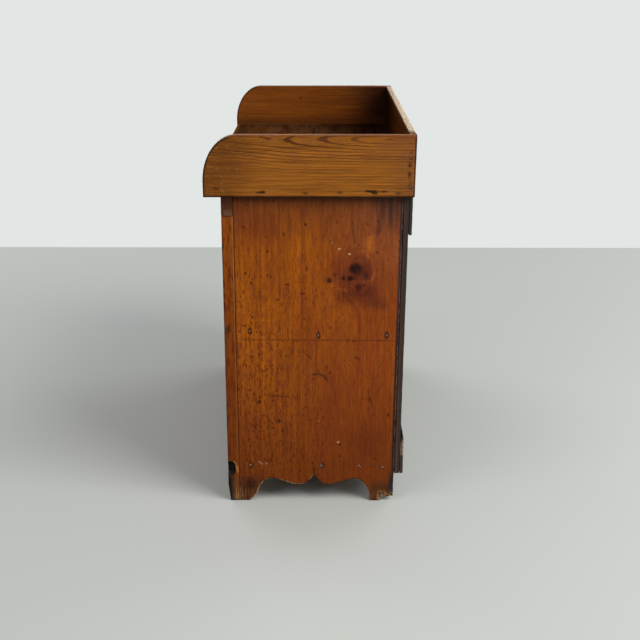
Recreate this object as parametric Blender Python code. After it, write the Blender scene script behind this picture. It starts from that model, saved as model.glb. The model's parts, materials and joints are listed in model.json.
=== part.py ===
"""Bucket bench cabinet in old pine.

A cupboard with two framed doors stands on scalloped feet. Two round-cornered ends and a back
board make an open gallery round its top, where the buckets stand.
Metres, +Z up. The front faces -Y. The origin is on the floor under the middle of the gallery.
"""

import math

import bmesh
import bpy
from mathutils import Matrix, Vector

# Clearances
FIT = 0.0003  # between two pieces that seat on each other
RUN = 0.0002  # between a pin and the bore that turns on it

# Case
CASE_WIDTH = 0.925  # over the outer faces of the two sides
CASE_HEIGHT = 0.710  # floor to the underside of the top board
SIDE_DEPTH = 0.360  # at the top
BACK_LEAN = 0.0085  # how much less deep the sides are at the floor
SIDE_T = 0.022
DADO_D = 0.008  # how far the shelf and the bottom board are let into the sides
SHELF_T = 0.020
SHELF_Z = 0.392  # underside of the shelf
BOTTOM_T = 0.020
BOTTOM_Z = 0.077  # underside of the bottom board

# Scalloped foot of each side
FRONT_FOOT = 0.0640  # front of the face frame to the scallop
REAR_FOOT = 0.0535
CUSP_SHIFT = 0.0025  # the middle cusp lies a little behind the middle
ARCH_RUN = 0.034
ARCH_RISE = 0.0555
LOBE_RUN = 0.031  # middle cusp to the bottom of each lobe
LOBE_RISE = 0.040
CUSP_RISE = 0.066
WORN_PAD_RUN = 0.016  # the front foot is worn off towards the scallop
WORN_PAD_RISE = 0.010
WORN_HEEL_RUN = 0.031  # the rear of the rear foot is broken off
WORN_HEEL_RISE = 0.0125
WORN_HEEL_STEP = 0.007  # run of the break

# Gallery
FRONT_OVERHANG = 0.035  # top board past the face frame
REAR_OVERHANG = 0.0015  # gallery past the rear battens
END_T = 0.020
GALLERY_HEIGHT = 0.130  # from the underside of the top board
GALLERY_BACK_T = 0.014
TOP_T = 0.023
TOP_NOSE_R = 0.009
CORNER_RUN = 0.071  # elliptical front corner of the ends
CORNER_DROP = 0.095

# Back
BACK_T = 0.013
BACK_Z = 0.069  # the back stops short of the floor
BACK_SHARES = (1.15, 0.90, 1.05, 0.95, 1.10, 0.85)  # relative widths of the boards
BACK_GAP = 0.0012  # shrinkage gap between two boards
BATTEN_T = 0.0075
TOP_BATTEN_H = 0.085
BOTTOM_BATTEN_H = 0.108
BOTTOM_BATTEN_BEVEL = 0.024

# Face frame
FRAME_T = 0.025
STILE_W = 0.065
CENTRE_STILE_W = 0.055
TOP_RAIL_H = 0.044
BOTTOM_RAIL_H = 0.045
BOTTOM_RAIL_Z = 0.055
FRAME_TENON_T = 0.009
FRAME_TENON_L = 0.028
FRAME_SHOULDER = 0.008
WORN_TOE_RISE = 0.040  # the foot of each stile is worn back at the front
WORN_TOE_RUN = 0.005
GOUGE_Z = 0.081  # bite out of the outer front edge of the right stile
GOUGE_RADII = (0.0100, 0.0112, 0.0165)
GOUGE_INSET = 0.0075  # its middle from the front of the face frame

# Doors
DOOR_T = 0.022
DOOR_GAP = 0.003
DOOR_STILE_W = 0.058
DOOR_TOP_RAIL_H = 0.058
DOOR_BOTTOM_RAIL_H = 0.075
DOOR_TENON_L = 0.038
DOOR_SHOULDER = 0.013
GROOVE_T = 0.007
GROOVE_D = 0.010
PANEL_T = 0.012
PANEL_BEVEL = 0.030
PANEL_PLAY = 0.002  # room for the panel to swell in its groove
PEG_R = 0.003

# Butt hinges
HINGE_H = 0.060
HINGE_INSET = 0.075  # door end to the middle of a hinge
KNUCKLES = 5
KNUCKLE_R = 0.003
HINGE_PIN_R = 0.0015
HINGE_PIN_HEAD_R = 0.0026
HINGE_PIN_HEAD_H = 0.0018
LEAF_T = 0.0022
LEAF_W = 0.018  # leaf behind the face of the frame
LEAF_CLEAR = 0.0003  # each leaf to the middle of the gap
BARREL_CLEAR = 0.0003  # knuckle to the face of the frame

# Knobs and turn button
KNOB_Z = 0.430
KNOB_TENON_R = 0.006
KNOB_FLANGE_R = 0.011
KNOB_NECK_R = 0.0075
KNOB_HEAD_R = 0.0165
KNOB_L = 0.030
BUTTON_Z = 0.530
BUTTON_L = 0.096
BUTTON_W = 0.024
BUTTON_T = 0.011
BUTTON_SCREW_R = 0.0022
BUTTON_SCREW_HEAD_R = 0.0048
BUTTON_SCREW_HEAD_H = 0.0026
BUTTON_SCREW_BITE = 0.016  # screw in the centre stile

# Facets
ARC_STEPS = 14
ROUND_SIDES = 16
SMALL_SIDES = 8

# Places that follow from the sizes above
DEPTH = FRONT_OVERHANG + FRAME_T + SIDE_DEPTH + BACK_T + BATTEN_T + REAR_OVERHANG
Y_FRONT = -DEPTH / 2
Y_REAR = DEPTH / 2
Y_FRAME = Y_FRONT + FRONT_OVERHANG
Y_SIDE = Y_FRAME + FRAME_T
Y_BACK = Y_SIDE + SIDE_DEPTH
Y_GALLERY_BACK = Y_REAR - GALLERY_BACK_T
X_SIDE = CASE_WIDTH / 2
X_INNER = X_SIDE - SIDE_T
X_END = X_SIDE + END_T
X_OPEN = X_SIDE - STILE_W
X_CENTRE = CENTRE_STILE_W / 2
Z_TOP_RAIL = CASE_HEIGHT - TOP_RAIL_H
Z_SILL = BOTTOM_RAIL_Z + BOTTOM_RAIL_H
Z_GALLERY = CASE_HEIGHT + GALLERY_HEIGHT
Z_DOOR = Z_SILL + DOOR_GAP
Z_DOOR_TOP = Z_TOP_RAIL - DOOR_GAP
Y_GROOVE = Y_FRAME + (DOOR_T - GROOVE_T) / 2
X_AXIS = X_OPEN - DOOR_GAP / 2
Y_AXIS = Y_FRAME - KNUCKLE_R - BARREL_CLEAR
HINGE_Z = (Z_DOOR + HINGE_INSET, Z_DOOR_TOP - HINGE_INSET)
SIDES = (("left", -1), ("right", 1))


def clear_scene():
    for obj in list(bpy.data.objects):
        bpy.data.objects.remove(obj, do_unlink=True)


def make_material(name, colour, roughness, metallic=0.0):
    material = bpy.data.materials.new(name)
    material.use_nodes = True
    shader = material.node_tree.nodes["Principled BSDF"]
    shader.inputs["Base Color"].default_value = (*colour, 1.0)
    shader.inputs["Roughness"].default_value = roughness
    shader.inputs["Metallic"].default_value = metallic
    return material


# Shapes, as bmeshes in world space
def loft_mesh(axis, stations):
    """Rectangles along an axis, joined in turn. A station is (place, low corner, high corner)."""
    bm = bmesh.new()
    others = [k for k in range(3) if k != axis]
    rings = []
    for place, low, high in stations:
        corners = ((low[0], low[1]), (high[0], low[1]), (high[0], high[1]), (low[0], high[1]))
        ring = []
        for pair in corners:
            point = [0.0, 0.0, 0.0]
            point[axis] = place
            point[others[0]], point[others[1]] = pair
            ring.append(bm.verts.new(point))
        rings.append(ring)
    for ring, following in zip(rings, rings[1:]):
        for k in range(4):
            bm.faces.new((ring[k], ring[(k + 1) % 4], following[(k + 1) % 4], following[k]))
    bm.faces.new(rings[0][::-1])
    bm.faces.new(rings[-1])
    bmesh.ops.recalc_face_normals(bm, faces=bm.faces)
    return bm


def box_mesh(corner, opposite):
    low = [min(pair) for pair in zip(corner, opposite)]
    high = [max(pair) for pair in zip(corner, opposite)]
    return loft_mesh(2, ((low[2], low[:2], high[:2]), (high[2], low[:2], high[:2])))


def prism_mesh(axis, outline, start, end):
    """An outline in the two other axes, in X, Y, Z order, extruded from start to end."""
    bm = bmesh.new()
    others = [k for k in range(3) if k != axis]
    caps = []
    for place in (start, end):
        cap = []
        for pair in outline:
            point = [0.0, 0.0, 0.0]
            point[axis] = place
            point[others[0]], point[others[1]] = pair
            cap.append(bm.verts.new(point))
        caps.append(cap)
    count = len(outline)
    for k in range(count):
        following = (k + 1) % count
        bm.faces.new((caps[0][k], caps[0][following], caps[1][following], caps[1][k]))
    bm.faces.new(caps[0][::-1])
    bm.faces.new(caps[1])
    bmesh.ops.recalc_face_normals(bm, faces=bm.faces)
    return bm


def turned_mesh(profile, sides, place):
    """A profile of (radius, distance) pairs, turned about a line through place along -Y."""
    bm = bmesh.new()
    points = [bm.verts.new((radius, -distance, 0.0)) for radius, distance in profile]
    edges = [bm.edges.new(pair) for pair in zip(points, points[1:])]
    bmesh.ops.spin(
        bm,
        geom=points + edges,
        cent=(0.0, 0.0, 0.0),
        axis=(0.0, 1.0, 0.0),
        angle=2 * math.pi,
        steps=sides,
        use_merge=True,
    )
    bmesh.ops.remove_doubles(bm, verts=bm.verts, dist=1e-6)
    bmesh.ops.recalc_face_normals(bm, faces=bm.faces)
    bmesh.ops.translate(bm, verts=bm.verts, vec=place)
    return bm


def ellipsoid_mesh(centre, radii):
    bm = bmesh.new()
    shape = Matrix.Translation(centre) @ Matrix.Diagonal((*radii, 1.0))
    bmesh.ops.create_icosphere(bm, subdivisions=2, radius=1.0, matrix=shape)
    return bm


def circle(radius, centre, sides):
    turns = [2 * math.pi * k / sides for k in range(sides)]
    return [(centre[0] + radius * math.cos(t), centre[1] + radius * math.sin(t)) for t in turns]


def quarter(centre, run, rise, start_degrees, steps=ARC_STEPS):
    """Points of a quarter ellipse, turning anticlockwise from start_degrees."""
    turns = [math.radians(start_degrees + 90.0 * k / steps) for k in range(steps + 1)]
    return [(centre[0] + run * math.cos(t), centre[1] + rise * math.sin(t)) for t in turns]


# Pieces of the model
def add_object(name, bms, origin):
    mesh = bpy.data.meshes.new(name)
    whole = bmesh.new()
    for bm in bms:
        bm.to_mesh(mesh)
        bm.free()
        whole.from_mesh(mesh)
    bmesh.ops.translate(whole, verts=whole.verts, vec=-Vector(origin))
    whole.to_mesh(mesh)
    whole.free()
    obj = bpy.data.objects.new(name, mesh)
    obj.location = origin
    bpy.context.scene.collection.objects.link(obj)
    return obj


def middle_of(bm):
    points = [vert.co for vert in bm.verts]
    low = Vector([min(point[k] for point in points) for k in range(3)])
    high = Vector([max(point[k] for point in points) for k in range(3)])
    return (low + high) / 2


def add_piece(name, bm, material, parent=None, smooth=False):
    """One named piece, with its origin in its middle, or on its joint if it has a parent."""
    origin = parent.location if parent else middle_of(bm)
    obj = add_object(name, [bm], origin)
    obj.data.materials.append(material)
    if smooth:
        obj.data.shade_smooth()
        obj.data.set_sharp_from_angle(angle=math.radians(35))
    if parent:
        obj.parent = parent
        obj.location = (0.0, 0.0, 0.0)
    return obj


def add_helper(name, bms):
    helper = add_object(name, bms, (0.0, 0.0, 0.0))
    helper.hide_render = True
    helper.display_type = "WIRE"
    return helper


def cut(piece, bms):
    """Takes shapes that don't touch each other out of a piece."""
    modifier = piece.modifiers.new("cut", "BOOLEAN")
    modifier.operation = "DIFFERENCE"
    modifier.object = add_helper(f"{piece.name}_cutter{len(piece.modifiers)}", bms)


def fuse(piece, bms):
    modifier = piece.modifiers.new("fuse", "BOOLEAN")
    modifier.operation = "UNION"
    modifier.object = add_helper(f"{piece.name}_addition{len(piece.modifiers)}", bms)


def add_pivot(name, place):
    pivot = bpy.data.objects.new(name, None)
    pivot.location = place
    pivot.empty_display_size = 0.05
    bpy.context.scene.collection.objects.link(pivot)
    return pivot


# Outlines
def rear_of(z):
    """Rear edge of the sides at a height: they lean in towards the floor."""
    return Y_BACK - BACK_LEAN * (1 - z / CASE_HEIGHT)


def scallop_half(half_span):
    """(distance from the cusp, height) from the foot to the cusp."""
    arch_end = half_span - ARCH_RUN
    arch = quarter((arch_end, 0.0), ARCH_RUN, ARCH_RISE, 0.0)
    points = list(arch)
    for k in range(1, ARC_STEPS + 1):
        share = k / ARC_STEPS
        drop = (ARCH_RISE - LOBE_RISE) * (1 - math.cos(math.pi * share)) / 2
        points.append((arch_end + (LOBE_RUN - arch_end) * share, ARCH_RISE - drop))
    for k in range(1, ARC_STEPS // 2 + 1):
        share = 2 * k / ARC_STEPS
        points.append((LOBE_RUN * (1 - share), LOBE_RISE + (CUSP_RISE - LOBE_RISE) * share**2))
    return points


def side_outline():
    start = Y_FRAME + FRONT_FOOT
    end = rear_of(0.0) - REAR_FOOT
    middle = (start + end) / 2 + CUSP_SHIFT
    front = [(middle - distance, height) for distance, height in scallop_half(middle - start)]
    rear = [(middle + distance, height) for distance, height in scallop_half(end - middle)]
    front = [point for point in front if point[1] > WORN_PAD_RISE]
    heel = rear_of(0.0) - WORN_HEEL_RUN
    top = CASE_HEIGHT - FIT
    corners = [
        (heel, 0.0),
        (heel + WORN_HEEL_STEP, WORN_HEEL_RISE),
        (heel + WORN_HEEL_RUN / 2, WORN_HEEL_RISE * 0.8),
        (rear_of(WORN_HEEL_RISE), WORN_HEEL_RISE),
        (rear_of(top), top),
        (Y_SIDE + FIT, top),
        (Y_SIDE + FIT, 0.0),
        (start - WORN_PAD_RUN, 0.0),
    ]
    return front + rear[-2::-1] + corners


def gallery_end_outline():
    corner = quarter((Y_FRONT + CORNER_RUN, Z_GALLERY - CORNER_DROP), CORNER_RUN, CORNER_DROP, 90.0)
    return [(Y_FRONT, CASE_HEIGHT), (Y_REAR, CASE_HEIGHT), (Y_REAR, Z_GALLERY), *corner]


def top_board_outline():
    low, high = CASE_HEIGHT, CASE_HEIGHT + TOP_T
    nose = Y_FRONT + TOP_NOSE_R
    steps = ARC_STEPS // 3
    upper = quarter((nose, high - TOP_NOSE_R), TOP_NOSE_R, TOP_NOSE_R, 90.0, steps)
    lower = quarter((nose, low + TOP_NOSE_R), TOP_NOSE_R, TOP_NOSE_R, 180.0, steps)
    return [(Y_GALLERY_BACK - FIT, low), (Y_GALLERY_BACK - FIT, high), *upper, *lower]


def bottom_batten_outline():
    low, high = BACK_Z, BACK_Z + BOTTOM_BATTEN_H
    bevel = high - BOTTOM_BATTEN_BEVEL
    outline = ((FIT, low), (BATTEN_T, low), (BATTEN_T, bevel), (BATTEN_T / 3, high), (FIT, high))
    return [(rear_of(z) + BACK_T + depth, z) for depth, z in outline]


def leaning_outline(near, far, low, high):
    """Section of a board that lies against the rear, from near to far behind the sides."""
    outline = ((near, low), (far, low), (far, high), (near, high))
    return [(rear_of(z) + depth, z) for depth, z in outline]


def button_outline():
    """A bar with round ends, upright."""
    radius = BUTTON_W / 2
    reach = BUTTON_L / 2 - radius
    steps = ARC_STEPS // 2
    top = quarter((0.0, BUTTON_Z + reach), radius, radius, 0.0, steps)
    top += quarter((0.0, BUTTON_Z + reach), radius, radius, 90.0, steps)[1:]
    bottom = quarter((0.0, BUTTON_Z - reach), radius, radius, 180.0, steps)
    bottom += quarter((0.0, BUTTON_Z - reach), radius, radius, 270.0, steps)[1:]
    return top + bottom


# Case
def build_case(wood):
    for name, s in SIDES:
        board = prism_mesh(0, side_outline(), s * X_INNER, s * X_SIDE)
        side = add_piece(f"{name}_side", board, wood["case"])
        floor = X_INNER + DADO_D
        dados = []
        for low, thickness in ((SHELF_Z, SHELF_T), (BOTTOM_Z, BOTTOM_T)):
            near = (s * (X_INNER - DADO_D), Y_SIDE - FRAME_T, low - FIT)
            far = (s * floor, Y_BACK + BACK_T, low + thickness + FIT)
            dados.append(box_mesh(near, far))
        cut(side, dados)
    reach = X_INNER + DADO_D - FIT
    for name, low, thickness in (("middle_shelf", SHELF_Z, SHELF_T), ("bottom_board", BOTTOM_Z, BOTTOM_T)):
        near = (-reach, Y_SIDE + FIT, low)
        far = (reach, rear_of(low), low + thickness)
        add_piece(name, box_mesh(near, far), wood["inner"])


def build_gallery(wood):
    for name, s in SIDES:
        board = prism_mesh(0, gallery_end_outline(), s * X_SIDE, s * X_END)
        add_piece(f"gallery_{name}_end", board, wood["gallery"])
    reach = X_SIDE - FIT
    add_piece("top_board", prism_mesh(0, top_board_outline(), -reach, reach), wood["gallery"])
    back = box_mesh((-reach, Y_GALLERY_BACK, CASE_HEIGHT), (reach, Y_REAR, Z_GALLERY))
    add_piece("gallery_back", back, wood["gallery"])


def back_board_edges():
    """(left, right) of each back board, side by side across the case."""
    unit = (CASE_WIDTH - BACK_GAP * (len(BACK_SHARES) - 1)) / sum(BACK_SHARES)
    edges = []
    left = -X_SIDE
    for share in BACK_SHARES:
        edges.append((left, left + unit * share))
        left += unit * share + BACK_GAP
    return edges


def build_back(wood):
    high = CASE_HEIGHT - FIT
    for number, (left, right) in enumerate(back_board_edges(), start=1):
        board = prism_mesh(0, leaning_outline(FIT, BACK_T, BACK_Z, high), left, right)
        add_piece(f"back_board_{number}", board, wood["back"])
    top_outline = leaning_outline(BACK_T + FIT, BACK_T + BATTEN_T, high - TOP_BATTEN_H, high)
    for name, outline in (("top", top_outline), ("bottom", bottom_batten_outline())):
        add_piece(f"back_batten_{name}", prism_mesh(0, outline, -X_SIDE, X_SIDE), wood["back"])


# Face frame
def frame_tenon(half_width, grow=0.0):
    """Section of an upright tenon in the middle of the frame's thickness: low and high corners."""
    middle = Y_FRAME + FRAME_T / 2
    half = FRAME_TENON_T / 2 + grow
    return (-half_width - grow, middle - half), (half_width + grow, middle + half)


def shifted(section, x):
    return tuple((corner[0] + x, corner[1]) for corner in section)


def upright_mesh(x, width, low, low_tenon):
    """A stile of the face frame, with a tenon at its top and, if asked, one at its foot."""
    body = ((x - width / 2, Y_FRAME), (x + width / 2, Y_SIDE))
    tenon = shifted(frame_tenon(width / 2 - FRAME_SHOULDER), x)
    high = Z_TOP_RAIL - FIT
    stations = [(low, *body), (high, *body), (high, *tenon), (high + FRAME_TENON_L, *tenon)]
    if low_tenon:
        stations = [(low - FRAME_TENON_L, *tenon), (low, *tenon), *stations]
    return loft_mesh(2, stations)


def upright_mortise(x, width, start, end):
    hole = shifted(frame_tenon(width / 2 - FRAME_SHOULDER, grow=FIT), x)
    return loft_mesh(2, ((start, *hole), (end, *hole)))


def rail_tenon(grow=0.0):
    """Section, in Y and Z, of the bottom rail's tenons."""
    middle = Y_FRAME + FRAME_T / 2
    half = FRAME_TENON_T / 2 + grow
    low = (middle - half, BOTTOM_RAIL_Z + FRAME_SHOULDER - grow)
    return low, (middle + half, Z_SILL - FRAME_SHOULDER + grow)


def build_face_frame(wood):
    deep = FRAME_TENON_L + FIT
    rail = box_mesh((-X_SIDE, Y_FRAME, Z_TOP_RAIL), (X_SIDE, Y_SIDE, CASE_HEIGHT - FIT))
    top_rail = add_piece("top_rail", rail, wood["case"])
    uprights = [(s * (X_SIDE - STILE_W / 2), STILE_W) for _, s in SIDES] + [(0.0, CENTRE_STILE_W)]
    under = Z_TOP_RAIL - FIT - TOP_RAIL_H
    cut(top_rail, [upright_mortise(x, w, under, Z_TOP_RAIL + deep) for x, w in uprights])

    shoulder = X_OPEN - FIT
    body = ((Y_FRAME, BOTTOM_RAIL_Z), (Y_SIDE, Z_SILL))
    tip = shoulder + FRAME_TENON_L
    rail = loft_mesh(
        0,
        (
            (-tip, *rail_tenon()),
            (-shoulder, *rail_tenon()),
            (-shoulder, *body),
            (shoulder, *body),
            (shoulder, *rail_tenon()),
            (tip, *rail_tenon()),
        ),
    )
    bottom_rail = add_piece("bottom_rail", rail, wood["case"])
    over = Z_SILL + BOTTOM_RAIL_H
    cut(bottom_rail, [upright_mortise(0.0, CENTRE_STILE_W, Z_SILL - deep, over)])

    for (name, s), (x, width) in zip(SIDES, uprights):
        stile = add_piece(f"{name}_stile", upright_mesh(x, width, 0.0, False), wood["case"])
        hole = rail_tenon(grow=FIT)
        mortise = loft_mesh(0, ((s * (X_OPEN - deep), *hole), (s * (X_OPEN + deep), *hole)))
        cut(stile, [mortise, *hinge_gains(s, 1), worn_toe(x)])
        if s > 0:
            cut(stile, [ellipsoid_mesh((X_SIDE, Y_FRAME + GOUGE_INSET, GOUGE_Z), GOUGE_RADII)])
    centre = upright_mesh(0.0, CENTRE_STILE_W, Z_SILL + FIT, True)
    return add_piece("centre_stile", centre, wood["case"])


def worn_toe(x):
    """The wedge worn off the front of a stile's foot, wider than the stile."""
    outside = Y_FRAME - FRAME_T
    wedge = [
        (outside, -FRAME_T),
        (Y_FRAME + WORN_TOE_RUN, -FRAME_T),
        (Y_FRAME + WORN_TOE_RUN, 0.0),
        (Y_FRAME, WORN_TOE_RISE),
        (outside, WORN_TOE_RISE),
    ]
    return prism_mesh(0, wedge, x - STILE_W, x + STILE_W)


# Hinges
def leaf_span(s, side):
    """Where a leaf lies across the gap: side is 1 for the frame's leaf and -1 for the door's."""
    return s * (X_AXIS + side * LEAF_CLEAR), s * (X_AXIS + side * (LEAF_CLEAR + LEAF_T))


def hinge_gains(s, side):
    """Pockets for the two leaves in the edge of a stile, open to the front and to the gap."""
    bottom = s * (X_AXIS + side * (LEAF_CLEAR + LEAF_T + FIT))
    half = HINGE_H / 2 + FIT
    mouth = s * X_AXIS
    rear = Y_FRAME + LEAF_W + FIT
    front = Y_FRAME - KNUCKLE_R
    return [box_mesh((mouth, front, z - half), (bottom, rear, z + half)) for z in HINGE_Z]


def leaf_knuckles(s, side, z):
    """The knuckles of one leaf, and the tabs that join them to its plate."""
    pitch = HINGE_H / KNUCKLES
    first = 0 if side == 1 else 1
    near, far = leaf_span(s, side)
    barrels = []
    tabs = []
    for number in range(first, KNUCKLES, 2):
        low = z - HINGE_H / 2 + number * pitch + FIT / 2
        high = low + pitch - FIT
        barrel = circle(KNUCKLE_R, (s * X_AXIS, Y_AXIS), ROUND_SIDES)
        barrels.append(prism_mesh(2, barrel, low, high))
        tabs.append(box_mesh((near, Y_AXIS, low), (far, Y_FRAME + LEAF_W / 4, high)))
    return barrels, tabs


def build_leaf(name, s, side, z, iron, parent):
    """One leaf of a butt hinge: a plate let into the wood and knuckles round the pin."""
    near, far = leaf_span(s, side)
    half = HINGE_H / 2
    start = Y_AXIS + KNUCKLE_R + FIT
    plate = box_mesh((near, start, z - half), (far, Y_FRAME + LEAF_W, z + half))
    leaf = add_piece(name, plate, iron, parent)
    barrels, tabs = leaf_knuckles(s, side, z)
    fuse(leaf, tabs)
    fuse(leaf, barrels)
    bore = circle(HINGE_PIN_R + RUN, (s * X_AXIS, Y_AXIS), ROUND_SIDES)
    cut(leaf, [prism_mesh(2, bore, z - HINGE_H, z + HINGE_H)])


def pin_mesh(s, z):
    centre = (s * X_AXIS, Y_AXIS)
    low, high = z - HINGE_H / 2, z + HINGE_H / 2 + FIT
    profile = (
        (0.0, low),
        (HINGE_PIN_R, low),
        (HINGE_PIN_R, high),
        (HINGE_PIN_HEAD_R, high),
        (HINGE_PIN_HEAD_R, high + HINGE_PIN_HEAD_H / 2),
        (0.0, high + HINGE_PIN_HEAD_H),
    )
    bm = turned_mesh([(radius, -place) for radius, place in profile], ROUND_SIDES, (0.0, 0.0, 0.0))
    bmesh.ops.rotate(bm, verts=bm.verts, matrix=Matrix.Rotation(math.pi / 2, 3, "X"))
    bmesh.ops.translate(bm, verts=bm.verts, vec=(*centre, 0.0))
    return bm


# Doors
def door_rail_mesh(s, low, high):
    """A door rail with a tenon at each end."""
    outer = X_OPEN - DOOR_GAP - DOOR_STILE_W - FIT
    inner = X_CENTRE + DOOR_GAP + DOOR_STILE_W + FIT
    body = ((Y_FRAME, low), (Y_FRAME + DOOR_T, high))
    tenon = door_tenon(low, high)
    places = (inner - DOOR_TENON_L, inner, inner, outer, outer, outer + DOOR_TENON_L)
    sections = (tenon, tenon, body, body, tenon, tenon)
    return loft_mesh(0, [(s * place, *section) for place, section in zip(places, sections)])


def door_tenon(low, high, grow=0.0):
    cheek = FIT - grow
    return (
        (Y_GROOVE + cheek, low + DOOR_SHOULDER - grow),
        (Y_GROOVE + GROOVE_T - cheek, high - DOOR_SHOULDER + grow),
    )


def door_rails():
    """(name, low, high) of the two rails."""
    return (
        ("bottom", Z_DOOR, Z_DOOR + DOOR_BOTTOM_RAIL_H),
        ("top", Z_DOOR_TOP - DOOR_TOP_RAIL_H, Z_DOOR_TOP),
    )


def build_door(name, s, wood, iron):
    pivot = add_pivot(f"{name}_door_hinge_axis", (s * X_AXIS, Y_AXIS, Z_DOOR))
    rails = door_rails()
    stile_spans = {
        "hinge": (X_OPEN - DOOR_GAP - DOOR_STILE_W, X_OPEN - DOOR_GAP),
        "lock": (X_CENTRE + DOOR_GAP, X_CENTRE + DOOR_GAP + DOOR_STILE_W),
    }
    panel_low = rails[0][2]
    panel_high = rails[1][1]
    pieces = {}
    for kind, (near, far) in stile_spans.items():
        body = box_mesh((s * near, Y_FRAME, Z_DOOR), (s * far, Y_FRAME + DOOR_T, Z_DOOR_TOP))
        stile = add_piece(f"{name}_door_{kind}_stile", body, wood["door"], pivot)
        inward = -1 if kind == "hinge" else 1
        edge = near if kind == "hinge" else far
        mouth = s * (edge + inward * GROOVE_D)
        groove_end = (s * (edge - inward * GROOVE_D), Y_GROOVE + GROOVE_T, panel_high + GROOVE_D)
        cutters = [box_mesh((mouth, Y_GROOVE, panel_low - GROOVE_D), groove_end)]
        for _, low, high in rails:
            hole = door_tenon(low, high, grow=FIT)
            bottom = s * (edge - inward * (DOOR_TENON_L + FIT))
            cutters.append(loft_mesh(0, ((mouth, *hole), (bottom, *hole))))
        cut(stile, cutters)
        pieces[kind] = stile
    for kind, low, high in rails:
        rail = add_piece(f"{name}_door_{kind}_rail", door_rail_mesh(s, low, high), wood["door"], pivot)
        inward = 1 if kind == "bottom" else -1
        edge = high if kind == "bottom" else low
        near = (s * (stile_spans["lock"][1] - GROOVE_D), Y_GROOVE, edge - inward * GROOVE_D)
        far = (s * (stile_spans["hinge"][0] + GROOVE_D), Y_GROOVE + GROOVE_T, edge + inward * GROOVE_D)
        cut(rail, [box_mesh(near, far)])
        pieces[kind] = rail
    build_panel(name, s, stile_spans, panel_low, panel_high, wood, pivot)
    build_pegs(name, s, stile_spans, rails, pieces, wood, pivot)

    cut(pieces["hinge"], hinge_gains(s, -1))
    for place, z in zip(("lower", "upper"), HINGE_Z):
        build_leaf(f"{name}_{place}_hinge_frame_leaf", s, 1, z, iron, None)
        build_leaf(f"{name}_{place}_hinge_door_leaf", s, -1, z, iron, pivot)
        add_piece(f"{name}_{place}_hinge_pin", pin_mesh(s, z), iron, None, smooth=True)
    build_knob(name, s, pieces["lock"], wood, pivot)


def build_panel(name, s, stile_spans, low, high, wood, pivot):
    """Flat in front, fielded behind: its thin edges sit in the grooves of the frame."""
    tongue = GROOVE_D - PANEL_PLAY
    left, right = sorted((s * stile_spans["lock"][1], s * stile_spans["hinge"][0]))

    def section(inset):
        return (left + inset, low + inset), (right - inset, high - inset)

    front = Y_GROOVE + FIT
    thin = Y_GROOVE + GROOVE_T - FIT
    stations = (
        (front, *section(-tongue)),
        (thin, *section(-tongue)),
        (thin, *section(FIT)),
        (front + PANEL_T, *section(PANEL_BEVEL)),
    )
    add_piece(f"{name}_door_panel", loft_mesh(1, stations), wood["door"], pivot)


def build_pegs(name, s, stile_spans, rails, pieces, wood, pivot):
    """A wooden peg through each mortise and tenon."""
    for kind, (near, far) in stile_spans.items():
        edge, inward = (near, 1) if kind == "hinge" else (far, -1)
        x = s * (edge + inward * DOOR_TENON_L / 2)
        for rail, low, high in rails:
            centre = (x, (low + high) / 2)
            peg = prism_mesh(1, circle(PEG_R, centre, SMALL_SIDES), Y_FRAME, Y_FRAME + DOOR_T)
            add_piece(f"{name}_door_{kind}_{rail}_peg", peg, wood["door"], pivot)
            hole = circle(PEG_R + FIT, centre, SMALL_SIDES)
            span = (Y_FRAME - DOOR_T, Y_FRAME + 2 * DOOR_T)
            cut(pieces[kind], [prism_mesh(1, hole, *span)])
            cut(pieces[rail], [prism_mesh(1, hole, *span)])


def build_knob(name, s, stile, wood, pivot):
    """A turned knob whose tenon passes through the lock stile."""
    x = s * (X_CENTRE + DOOR_GAP + DOOR_STILE_W / 2)
    seat = FIT
    swell = KNOB_L - 2 * (KNOB_HEAD_R - KNOB_NECK_R)
    profile = [
        (0.0, -DOOR_T),
        (KNOB_TENON_R, -DOOR_T),
        (KNOB_TENON_R, seat),
        (KNOB_FLANGE_R, seat),
        (KNOB_FLANGE_R, seat + 0.1 * KNOB_L),
        (KNOB_NECK_R, seat + 0.2 * KNOB_L),
        (KNOB_NECK_R, swell),
    ]
    head = (KNOB_L - swell) / 2
    for k in range(1, ARC_STEPS):
        turn = math.pi * k / ARC_STEPS
        base = KNOB_NECK_R if turn < math.pi / 2 else 0.0
        radius = base + (KNOB_HEAD_R - base) * math.sin(turn)
        profile.append((radius, swell + head * (1 - math.cos(turn))))
    profile.append((0.0, KNOB_L))
    place = (x, Y_FRAME, KNOB_Z)
    add_piece(f"{name}_knob", turned_mesh(profile, ROUND_SIDES, place), wood["knob"], pivot, smooth=True)
    hole = circle(KNOB_TENON_R + FIT, (x, KNOB_Z), ROUND_SIDES)
    cut(stile, [prism_mesh(1, hole, Y_FRAME - DOOR_T, Y_FRAME + 2 * DOOR_T)])


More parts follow.
